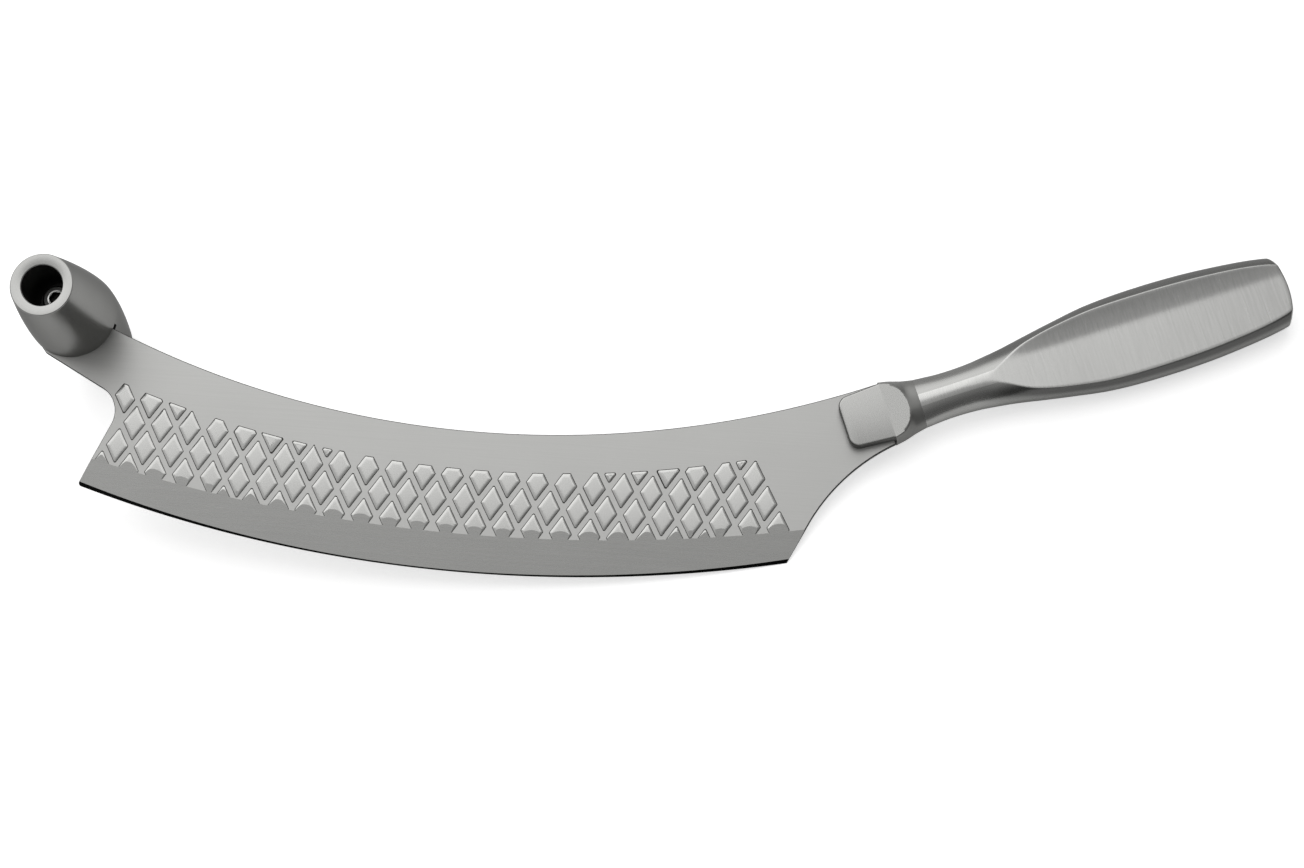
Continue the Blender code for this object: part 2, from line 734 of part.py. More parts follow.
def resting_turn(points, centre):
    """The turn that brings the face of the hull that lies under the weight down onto the table."""
    hull = bmesh.new()
    for point in points:
        hull.verts.new(point)
    result = bmesh.ops.convex_hull(hull, input=hull.verts)
    best, lowest = Vector((0, 0, -1)), None
    for face in (item for item in result["geom"] if isinstance(item, bmesh.types.BMFace)):
        a, b, c = (vert.co for vert in face.verts[:3])
        normal = (b - a).cross(c - a).normalized()
        if (a - centre).dot(normal) < 0:
            normal.negate()
        foot = centre + normal * (a - centre).dot(normal)
        sides = [(q - p).cross(foot - p).dot(normal) for p, q in ((a, b), (b, c), (c, a))]
        inside = all(side >= 0 for side in sides) or all(side <= 0 for side in sides)
        height = (a - centre).length
        if inside and normal.z < -LEAST_DROP and (lowest is None or height > lowest):
            best, lowest = normal, height
    hull.free()
    return best.rotation_difference(Vector((0, 0, -1))).to_matrix().to_4x4()


def lay_down(bodies):
    """Hang every piece on one empty and set it on the table, its foot centred on the origin."""
    carrier = bpy.data.objects.new("knife_frame", None)
    bpy.context.scene.collection.objects.link(carrier)
    bpy.context.view_layer.update()
    points, centre = evaluated_points(bodies)
    turn = resting_turn(points, centre)
    laid = [turn @ point for point in points]
    low = Vector([min(point[i] for point in laid) for i in range(3)])
    high = Vector([max(point[i] for point in laid) for i in range(3)])
    shift = Vector((-(low.x + high.x) / 2, -(low.y + high.y) / 2, -low.z))
    for body in bodies:
        body.parent = carrier
    carrier.matrix_world = Matrix.Translation(shift) @ turn
    tilt = [round(math.degrees(angle), 3) for angle in turn.to_euler()]
    print(f"laid down by {tilt} degrees, moved by {[round(part, 6) for part in shift]} m")


def main():
    """Build the knife in an emptied scene."""
    for old in list(bpy.data.objects):
        bpy.data.objects.remove(old)
    bodies = [
        build_blade(steel("blade_steel", (0.52, 0.52, 0.51), 0.32)),
        build_bolster(steel("bolster_steel", (0.56, 0.56, 0.55), 0.30)),
        build_handle(steel("handle_steel", (0.54, 0.54, 0.53), 0.34)),
        build_cross_grip(steel("grip_steel", (0.50, 0.50, 0.49), 0.36)),
        build_screw(steel("screw_steel", (0.60, 0.60, 0.60), 0.22)),
    ]
    for body in bodies:
        body.data.shade_smooth()
        body.data.set_sharp_from_angle(angle=SHARP_ANGLE)
    lay_down(bodies)


main()
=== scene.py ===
"""Looks of the cheese knife: its finished steel pieces, the floor, the light and the camera.

Metres, +Z up. The blade is drawn in its own axes, as its solid is: X runs along the chord of the
cutting edge toward the handle, Y from the cutting edge to the spine, Z from the middle of the sheet
to the front face. Bolster and handle are drawn along the handle's axis, grip and screw round the
grip's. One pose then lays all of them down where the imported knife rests.
"""

import sys
import logging
import math
from collections.abc import Callable, Iterable
from dataclasses import dataclass
from enum import Enum, IntEnum
from functools import cached_property

import bmesh
import bpy
from bpy.types import Material, Node, NodeSocket, NodeTree, Object
from mathutils import Euler, Matrix, Vector


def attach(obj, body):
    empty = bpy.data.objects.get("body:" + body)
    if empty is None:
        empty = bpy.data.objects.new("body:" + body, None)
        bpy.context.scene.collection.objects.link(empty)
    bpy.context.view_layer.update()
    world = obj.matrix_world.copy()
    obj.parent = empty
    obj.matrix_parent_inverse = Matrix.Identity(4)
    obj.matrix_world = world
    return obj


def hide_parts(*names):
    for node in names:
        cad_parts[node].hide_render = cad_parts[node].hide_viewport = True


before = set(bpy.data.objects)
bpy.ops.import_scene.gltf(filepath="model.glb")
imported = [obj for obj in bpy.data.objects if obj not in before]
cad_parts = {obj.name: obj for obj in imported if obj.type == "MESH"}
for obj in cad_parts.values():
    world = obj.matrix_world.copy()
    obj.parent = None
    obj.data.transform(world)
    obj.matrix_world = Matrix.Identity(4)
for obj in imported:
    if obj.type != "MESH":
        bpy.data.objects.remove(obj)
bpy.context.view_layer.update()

log = logging.getLogger("cheese_knife")

MM = 0.001
TOUCHING = 1e-7
OWN_AXES = "own_axes"
# name of the point attribute that carries painted shade
TONE = "tone"
WHITE = (1, 1, 1, 1)
Pair = tuple[float, float]
Triple = tuple[float, float, float]
Ring = list[bmesh.types.BMVert]


# Colour and nodes
def linear(code: str) -> tuple[float, float, float, float]:
    """Turn an sRGB hex colour into the linear colour that a shader takes.

    Args:
        code: colour as #RRGGBB.

    Returns:
        Linear red, green, blue and an alpha of one.
    """
    foot, slope, offset, power = 0.04045, 12.92, 0.055, 2.4
    parts = [int(code[i : i + 2], 16) / 255 for i in (1, 3, 5)]
    levels = (p / slope if p <= foot else ((p + offset) / (1 + offset)) ** power for p in parts)
    return *levels, 1.0


def fill(tree: NodeTree, node: Node, sockets: dict) -> None:
    """Give the inputs of a node their values and links.

    Args:
        tree: node tree that holds the node.
        node: the node.
        sockets: input names or numbers, each with a value, or the node or output that feeds it.
    """
    for key, value in sockets.items():
        value = value.outputs[0] if isinstance(value, Node) else value
        if isinstance(value, NodeSocket):
            tree.links.new(value, node.inputs[key])
        else:
            node.inputs[key].default_value = value


def add_node(tree: NodeTree, kind: str, settings: dict, sockets: dict) -> Node:
    """Add one node with its settings and links.

    Args:
        tree: node tree that takes the node.
        kind: the node's type name.
        settings: attribute names and their values.
        sockets: what feeds its inputs, as fill takes it.

    Returns:
        The new node.
    """
    node = tree.nodes.new(kind)
    for name, value in settings.items():
        setattr(node, name, value)
    fill(tree, node, sockets)
    return node


def multiplied(tree: NodeTree, first: Node, second: Node | NodeSocket | float) -> Node:
    """Multiply one value by another."""
    return add_node(tree, "ShaderNodeMath", {"operation": "MULTIPLY"}, {0: first, 1: second})


def swung(tree: NodeTree, share: Node, middle: float, swing: float) -> Node:
    """Let a value swing to both sides of its middle as a share runs from 0 to 1."""
    ends = {"To Min": middle - swing, "To Max": middle + swing}
    return add_node(tree, "ShaderNodeMapRange", {}, {"Value": share, **ends})


def flattened(tree: NodeTree, place: NodeSocket) -> Node:
    """Leave out the height of a place."""
    flat = {0: place, 1: (1, 1, 0)}
    return add_node(tree, "ShaderNodeVectorMath", {"operation": "MULTIPLY"}, flat)


class Lay(Enum):
    """How the tool marks of a finish run."""

    STRAIGHT = "brushed in one direction"
    TURNED = "circles round the piece's Z, on its barrel"
    FACED = "circles round the piece's Z, on an end face"
    CAST = "blasted or cast, with no direction"


@dataclass(frozen=True)
class SteelFinish:
    """Stainless steel of one surface treatment.

    The marks of grit 240 to 400 are 0.02 to 0.05 mm wide. At three pixels to the millimetre they
    would vanish, so spacing draws them about ten times as coarse. A toned finish is darkened by
    the tone of its piece, which is painted shade, and grazing below 1 dulls what it reflects at a
    flat angle.
    """

    name: str
    colour: str
    roughness: float
    lay: Lay
    angle: float = 0.0
    length: float = 12 * MM
    spacing: float = 0.3 * MM
    depth: float = 0.0015 * MM
    detail: float = 3.0
    harshness: float = 0.6
    anisotropy: float = 0.0
    tone: float = 0.05
    cloud: float = 0.03
    cloud_size: float = 25 * MM
    cloud_detail: float = 2.0
    roughness_swing: float = 0.05
    toned: bool = False
    grazing: float = 1.0

    def marks(self, tree: NodeTree, place: NodeSocket) -> Node:
        """Noise drawn out along the tool marks.

        Args:
            tree: node tree of the material.
            place: coordinates in the piece's own axes.

        Returns:
            The node that gives the marks, from 0 to 1.
        """
        if self.lay is Lay.FACED:
            flat = {0: flattened(tree, place)}
            reach = add_node(tree, "ShaderNodeVectorMath", {"operation": "LENGTH"}, flat)
            place = add_node(tree, "ShaderNodeCombineXYZ", {}, {0: reach.outputs["Value"]})
        long, fine = self.length, self.spacing
        scales = {Lay.STRAIGHT: (long, fine, fine), Lay.TURNED: (long, long, fine)}
        mapping = {
            "Vector": place,
            "Rotation": (0.0, 0.0, math.radians(self.angle)),
            "Scale": scales.get(self.lay, (fine, fine, fine)),
        }
        drawn = add_node(tree, "ShaderNodeMapping", {"vector_type": "TEXTURE"}, mapping)
        grain = {"Vector": drawn, "Scale": 1.0, "Detail": self.detail, "Roughness": self.harshness}
        return add_node(tree, "ShaderNodeTexNoise", {}, grain)

    def material(self, lying: Matrix) -> Material:
        """Build the finish's material.

        Args:
            lying: matrix from the piece's own axes to the world's.

        Returns:
            A material with marks in its colour, roughness and bump.
        """
        material = bpy.data.materials.new(self.name)
        material.use_nodes = True
        tree = material.node_tree
        axes = add_node(tree, "ShaderNodeAttribute", {"attribute_name": OWN_AXES}, {})
        place = axes.outputs["Vector"]
        marks = self.marks(tree, place)
        cloud = {"Vector": place, "Scale": 1 / self.cloud_size, "Detail": self.cloud_detail}
        clouds = swung(tree, add_node(tree, "ShaderNodeTexNoise", {}, cloud), 1.0, self.cloud)
        tone = multiplied(tree, swung(tree, marks, 1.0, self.tone), clouds)
        # painted shade: a toned finish multiplies its colour by its piece's tone
        if self.toned:
            painted_shade_tone = add_node(tree, "ShaderNodeAttribute", {"attribute_name": TONE}, {})
            tone = multiplied(tree, tone, painted_shade_tone.outputs["Fac"])
        scaled = {0: linear(self.colour)[:3], "Scale": tone}
        bump = {"Height": marks, "Strength": 1.0, "Distance": self.depth}
        sockets = {
            "Metallic": 1.0,
            "Anisotropic": self.anisotropy,
            "Specular Tint": (self.grazing, self.grazing, self.grazing, 1.0),
            "Base Color": add_node(tree, "ShaderNodeVectorMath", {"operation": "SCALE"}, scaled),
            "Roughness": swung(tree, marks, self.roughness, self.roughness_swing),
            "Normal": add_node(tree, "ShaderNodeBump", {}, bump),
        }
        if self.anisotropy:
            sockets["Tangent"] = self.tangent(tree, place, lying)
        fill(tree, tree.nodes["Principled BSDF"], sockets)
        return material

    def tangent(self, tree: NodeTree, place: NodeSocket, lying: Matrix) -> Node:
        """Direction in which the marks spread a highlight, at right angles to them.

        Args:
            tree: node tree of the material.
            place: coordinates in the piece's own axes.
            lying: matrix from the piece's own axes to the world's.

        Returns:
            The node that gives the direction.
        """
        if self.lay is Lay.FACED:
            turn = {"Vector": flattened(tree, place), "Rotation": tuple(lying.to_euler())}
            source = add_node(tree, "ShaderNodeMapping", {"vector_type": "VECTOR"}, turn)
        else:
            across = heading(math.radians(self.angle + 90)).to_3d()
            if self.lay is Lay.TURNED:
                across = Vector((0, 0, 1))
            parts = dict(enumerate(lying.to_3x3() @ across))
            source = add_node(tree, "ShaderNodeCombineXYZ", {}, parts)
        spaces = {"vector_type": "VECTOR", "convert_from": "OBJECT", "convert_to": "WORLD"}
        return add_node(tree, "ShaderNodeVectorTransform", spaces, {0: source})


# Plane geometry
def heading(angle: float) -> Vector:
    """Unit vector in the blade's plane at an angle from X."""
    return Vector((math.cos(angle), math.sin(angle)))


def left_of(direction: Vector) -> Vector:
    """Direction at a right angle to the left of another."""
    return Vector((-direction.y, direction.x))


def angle_at(centre: Vector, point: Vector) -> float:
    """Angle of a point round a centre."""
    return math.atan2(point.y - centre.y, point.x - centre.x)


def sides_of(points: list) -> list[tuple]:
    """Pairs of neighbours in a row that closes on itself."""
    return list(zip(points, points[1:] + points[:1]))


def arc(centre: Vector, radius: float, start: float, end: float, steps: int) -> list[Vector]:
    """Points of an arc from one angle to another in radians, both ends included."""
    return [centre + radius * heading(start + (end - start) * i / steps) for i in range(steps + 1)]


def arc_between(centre: Vector, radius: float, start: Vector, end: Vector, steps: int) -> list:
    """Points of an arc between the directions of two points, else as arc gives them."""
    return arc(centre, radius, angle_at(centre, start), angle_at(centre, end), steps)


def first_crossing(centre: Vector, radius: float, point: Vector, direction: Vector) -> Vector:
    """Find where a line from a point outside a circle first meets it.

    Args:
        centre: centre of the circle.
        radius: its radius.
        point: start of the line.
        direction: unit direction of the line.

    Returns:
        The crossing.
    """
    toward = point - centre
    along = toward.dot(direction)
    half_chord = math.sqrt(along * along - toward.dot(toward) + radius * radius)
    return point + direction * (-along - half_chord)


def rounded(
    before: Vector, corner: Vector, after: Vector, radius: float, steps: int
) -> list[Vector]:
    """Round a corner between two straight sides.

    Args:
        before: a point on the side that comes in.
        corner: the sharp corner.
        after: a point on the side that goes out.
        radius: radius of the arc.
        steps: number of chords.

    Returns:
        Points of the arc.
    """
    back = (before - corner).normalized()
    ahead = (after - corner).normalized()
    half = back.angle(ahead) / 2
    centre = corner + (back + ahead).normalized() * (radius / math.sin(half))
    reach = radius / math.tan(half)
    start = angle_at(centre, corner + back * reach)
    turn = angle_at(centre, corner + ahead * reach) - start
    turn = (turn + math.pi) % math.tau - math.pi
    return arc(centre, radius, start, start + turn, steps)


def clipped(points: list[Vector], through: Vector, inward: Vector) -> list[Vector]:
    """Keep the part of a convex outline on the inner side of a line.

    Args:
        points: the outline.
        through: a point on the line.
        inward: direction to the kept side.

    Returns:
        The clipped outline.
    """
    kept = []
    for here, there in sides_of(points):
        a = (here - through).dot(inward)
        b = (there - through).dot(inward)
        if a >= 0:
            kept.append(here)
        if a * b < 0:
            kept.append(here + (there - here) * (a / (a - b)))
    return kept


def offset_outline(points: list[Vector], distance: float, least_lean: float = 0.4) -> list[Vector]:
    """Move an outline inward by a small distance, corner by corner.

    Args:
        points: a counterclockwise outline.
        distance: how far each side moves in.
        least_lean: keeps the sharpest corners from running away.

    Returns:
        The moved outline.
    """
    moved = []
    for i, here in enumerate(points):
        before, after = points[i - 1], points[(i + 1) % len(points)]
        first = left_of((here - before).normalized())
        inward = (first + left_of((after - here).normalized())).normalized()
        moved.append(here + inward * (distance / max(inward.dot(first), least_lean)))
    return moved


def encloses(outline: list[Vector], point: Vector) -> bool:
    """Tell whether an outline goes round a point.

    Args:
        outline: the outline.
        point: the point.

    Returns:
        True inside the outline.
    """
    inside = False
    for here, there in sides_of(outline):
        if (here.y > point.y) != (there.y > point.y):
            reach = here.x + (there.x - here.x) * (point.y - here.y) / (there.y - here.y)
            inside = inside != (point.x < reach)
    return inside


def soft_min(a: float, b: float, blend: float) -> float:
    """Smaller of two heights, with the crease between them rounded over a blend."""
    share = min(max(0.5 + 0.5 * (b - a) / blend, 0.0), 1.0)
    return b + (a - b) * share - blend * share * (1 - share)


def smooth_share(value: float) -> float:
    """Ease from 0 to 1."""
    value = min(max(value, 0.0), 1.0)
    return value * value * (3 - 2 * value)


def rim_steps(radius: float, turns: Iterable[float]) -> list[Pair]:
    """How far in from the side and back from the end a round rim is at each turn in degrees."""
    bends = [math.radians(turn) for turn in turns]
    return [(radius * (1 - math.cos(bend)), radius * (1 - math.sin(bend))) for bend in bends]


# Meshes
class Body:
    """A mesh in the making, whose faces carry the number of their finish."""

    def __init__(self) -> None:
        """Start with no faces."""
        self.shape = bmesh.new()
        # share of each point's colour, which a toned finish takes as painted shade
        self.tone = self.shape.verts.layers.float.new(TONE)

    def ring(self, points: Iterable[Triple]) -> Ring:
        """Add a row of points in full tone.

        Args:
            points: their places.

        Returns:
            The row.
        """
        row = [self.shape.verts.new(point) for point in points]
        for vert in row:
            vert[self.tone] = 1.0
        return row

    def face(self, corners: Ring, finish: int = 0) -> None:
        """Add a smooth face.

        Args:
            corners: its corners in order.
            finish: number of its finish.
        """
        made = self.shape.faces.new(corners)
        made.material_index = finish
        made.smooth = True

    def loft(
        self,
        rings: list[Ring],
        finish: int | Callable[[int, int], int],
        caps: tuple[int, int] | None = None,
    ) -> None:
        """Join rings of equal count one after the other.

        Args:
            rings: the rings.
            finish: the faces' finish, or a function that gives it from the step and the column.
            caps: finishes of the faces that close the first and the last ring, or None.
        """
        for step, (near, far) in enumerate(zip(rings, rings[1:])):
            for column, ((a, b), (d, c)) in enumerate(zip(sides_of(near), sides_of(far))):
                self.face([a, b, c, d], finish(step, column) if callable(finish) else finish)
        if caps:
            self.face(rings[0][::-1], caps[0])
            self.face(rings[-1], caps[1])

    def fan(self, ring: Ring, tip: Triple, finish: int) -> None:
        """Close a ring with triangles that meet in a point.

        Args:
            ring: the ring.
            tip: where they meet.
            finish: number of their finish.
        """
        top = self.ring([tip])[0]
        for i in range(len(ring)):
            self.face([ring[i - 1], ring[i], top], finish)

    def placed(self, name: str, materials: list[Material]) -> Object:
        """Turn the faces outward and make an object of them.

        Args:
            name: the object's name.
            materials: in the order of the faces' numbers.

        Returns:
            The object, linked to the scene.
        """
        bmesh.ops.recalc_face_normals(self.shape, faces=self.shape.faces)
        mesh = bpy.data.meshes.new(name)
        self.shape.to_mesh(mesh)
        self.shape.free()
        for material in materials:
            mesh.materials.append(material)
        made = bpy.data.objects.new(name, mesh)
        bpy.context.scene.collection.objects.link(made)
        return made


def prism(corners: list[Vector], half: float, finish: int) -> Body:
    """Body with one outline, as deep below the middle plane as it is high above it.

    Args:
        corners: its outline.
        half: half of its height.
        finish: number of its finish.

    Returns:
        The closed body.
    """
    body = Body()
    rings = [body.ring((*corner, z) for corner in corners) for z in (-half, half)]
    body.loft(rings, finish, (finish, finish))
    return body


def turned_body(profile: list[tuple[float, float, int]], sides: int, closed: bool) -> Body:
    """Turn a half section once round Z.

    Args:
        profile: radius, height and the finish of the band that follows.
        sides: number of sides.
        closed: whether the profile closes on itself, and otherwise on the axis.

    Returns:
        The body.
    """
    body, rings = Body(), []
    turns = [math.tau * i / sides for i in range(sides)]
    for radius, height, _ in profile:
        rings.append(body.ring((radius * math.cos(t), radius * math.sin(t), height) for t in turns))
    caps = None if closed else (profile[0][2], profile[-1][2])
    body.loft(rings + rings[:1] if closed else rings, lambda step, _: profile[step][2], caps)
    return body


class Join(Enum):
    """What a tool does to a piece."""

    ADD = "UNION"
    CUT = "DIFFERENCE"


def carve(piece: Object, tools: list[tuple[Body, Join]]) -> None:
    """Join bodies to a piece for good.

    Args:
        piece: the piece that changes.
        tools: bodies whose faces are numbered as the piece's finishes, each with what it does.
    """
    materials, helpers = list(piece.data.materials), []
    for body, join in tools:
        helpers.append(body.placed("tool", materials))
        step = piece.modifiers.new("tool", "BOOLEAN")
        step.operation = join.value
        step.solver = "EXACT"
        step.material_mode = "INDEX"
        step.object = helpers[-1]
    bpy.context.view_layer.update()
    graph = bpy.context.evaluated_depsgraph_get()
    result = bpy.data.meshes.new_from_object(piece.evaluated_get(graph), depsgraph=graph)
    old = piece.data
    piece.modifiers.clear()
    piece.data = result
    result.name = piece.name
    bpy.data.meshes.remove(old)
    for helper in helpers:
        mesh = helper.data
        bpy.data.objects.remove(helper)
        bpy.data.meshes.remove(mesh)


def crease(piece: Object, angle: float, parted: set[frozenset[int]] | None = None) -> None:
    """Mark the edges where the shading breaks.

    Args:
        piece: the piece.
        angle: an edge that turns by more than this many degrees breaks.
        parted: pairs of finishes whose border breaks at any angle, or None for all pairs.
    """
    shape = bmesh.new()
    shape.from_mesh(piece.data)
    bmesh.ops.dissolve_degenerate(shape, edges=shape.edges, dist=TOUCHING)
    for face in shape.faces:
        face.smooth = True
    for edge in shape.edges:
        if len(edge.link_faces) != 2:
            continue
        pair = frozenset(face.material_index for face in edge.link_faces)
        border = len(pair) == 2 and (parted is None or pair in parted)
        if border or edge.calc_face_angle(0.0) > math.radians(angle):
            edge.smooth = False
    shape.to_mesh(piece.data)
    shape.free()


def hand_in(piece: Object, lying: Matrix, node: str) -> None:
    """Lay a finished piece in its place and let it stand for its solid.

    Its points keep their place in its own axes, from which the finishes take their marks.

    Args:
        piece: the piece, in its own axes.
        lying: matrix from those axes to the world's.
        node: the solid that it replaces.
    """
    mesh = piece.data
    own = mesh.attributes.new(OWN_AXES, "FLOAT_VECTOR", "POINT")
    own.data.foreach_set("vector", [part for vert in mesh.vertices for part in vert.co])
    mesh.transform(lying)
    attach(piece, "root")
    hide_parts(node)
    log.info("%s: %d faces, %d finishes", piece.name, len(mesh.polygons), len(mesh.materials))


@dataclass(frozen=True)
class Rest:
    """How the knife lies on the table: turns in degrees, then a shift."""

    turn: Triple = (13.457, 6.167, 0.728)
    shift: Triple = (-0.059348, -0.046905, 0.01187)

    def matrix(self) -> Matrix:
        """Matrix from the blade's axes to the world's."""
        turn = Euler([math.radians(a) for a in self.turn]).to_matrix().to_4x4()
        return Matrix.Translation(self.shift) @ turn


# Pieces
class Piece:
    """A piece in axes of its own, whose faces are numbered by its finishes."""

    finishes: tuple[SteelFinish, ...]

    def dress(self, lying: Matrix) -> list[Material]:
        """Make the piece's materials, which know how its own axes lie in the world."""
        return [finish.material(lying) for finish in self.finishes]


@dataclass(frozen=True)
class Plan:
    """Lines that the pieces share in the blade's plane."""

    edge_chord: float = 216.5 * MM
    edge_belly: float = 13.7 * MM
    heel_drop: float = 0.4 * MM
    depth: float = 42.8 * MM
    spine_radius: float = 301.0 * MM
    spine_offset: float = 3.8 * MM
    sheet_half: float = 1.1 * MM
    handle_angle: float = math.radians(23.8)
    joint_behind_heel: float = 34.1 * MM
    joint_below_spine: float = 9.8 * MM
    neck_angle: float = math.radians(154.7)
    grip_ahead_of_tip: float = 10.05 * MM
    grip_below_spine: float = 2.2 * MM
    shoulder_back: float = 10.1 * MM
    tang_width: float = 11.0 * MM
    tang_length: float = 7.0 * MM
    clearance: float = 0.3 * MM
    grip_middle_radius: float = 13.7 * MM
    slot_reach: float = 4.4 * MM
    screw_hole_radius: float = 2.8 * MM
    overcut: float = 2.0 * MM

    @property
    def tip(self) -> Vector:
        """Tip end of the cutting edge."""
        return Vector((-self.edge_chord / 2, 0.0))

    @property
    def heel(self) -> Vector:
        """Heel end of the cutting edge."""
        return Vector((self.edge_chord / 2, -self.heel_drop))

    @property
    def edge_radius(self) -> float:
        """Radius of the cutting edge."""
        half = (self.heel - self.tip).length / 2
        return (half**2 + self.edge_belly**2) / (2 * self.edge_belly)

    @property
    def edge_centre(self) -> Vector:
        """Centre of the cutting edge's arc."""
        half = (self.heel - self.tip) / 2
        return self.tip + half + left_of(half).normalized() * (self.edge_radius - self.edge_belly)

    @property
    def spine_centre(self) -> Vector:
        """Centre of the spine's arc."""
        return Vector((self.spine_offset, self.depth - self.edge_belly + self.spine_radius))

    def below_spine(self, along: float, depth: float) -> Vector:
        """A point at a place along X and a depth below the spine's arc."""
        reach = (self.spine_radius + depth) ** 2 - (along - self.spine_centre.x) ** 2
        return Vector((along, self.spine_centre.y - math.sqrt(reach)))

    @property
    def joint(self) -> Vector:
        """Where the handle's axis meets the joint between bolster and handle."""
        return self.below_spine(self.heel.x + self.joint_behind_heel, self.joint_below_spine)

    @property
    def grip(self) -> Vector:
        """Axis of the cross grip."""
        return self.below_spine(self.tip.x - self.grip_ahead_of_tip, self.grip_below_spine)

    @property
    def handle_axis(self) -> Vector:
        """Direction of the handle."""
        return heading(self.handle_angle)

    @property
    def neck_axis(self) -> Vector:
        """Direction of the neck, out toward the grip."""
        return heading(self.neck_angle)

    @property
    def neck_side(self) -> Vector:
        """Direction across the neck, toward the spine."""
        return -left_of(self.neck_axis)

    def along_handle(self, distance: float, across: float) -> Vector:
        """A point given along and across the handle's axis."""
        return self.joint + self.handle_axis * distance + left_of(self.handle_axis) * across

    def handle_matrix(self) -> Matrix:
        """Matrix from the handle's axes to the blade's."""
        return Matrix.Translation((*self.joint, 0.0)) @ Matrix.Rotation(self.handle_angle, 4, "Z")


class BladeFinish(IntEnum):
    """Order of the finishes on the blade."""

    FACE = 0
    LOZENGE = 1
    BEVEL = 2
    EDGE = 3
    RIM = 4
    FOOT = 5


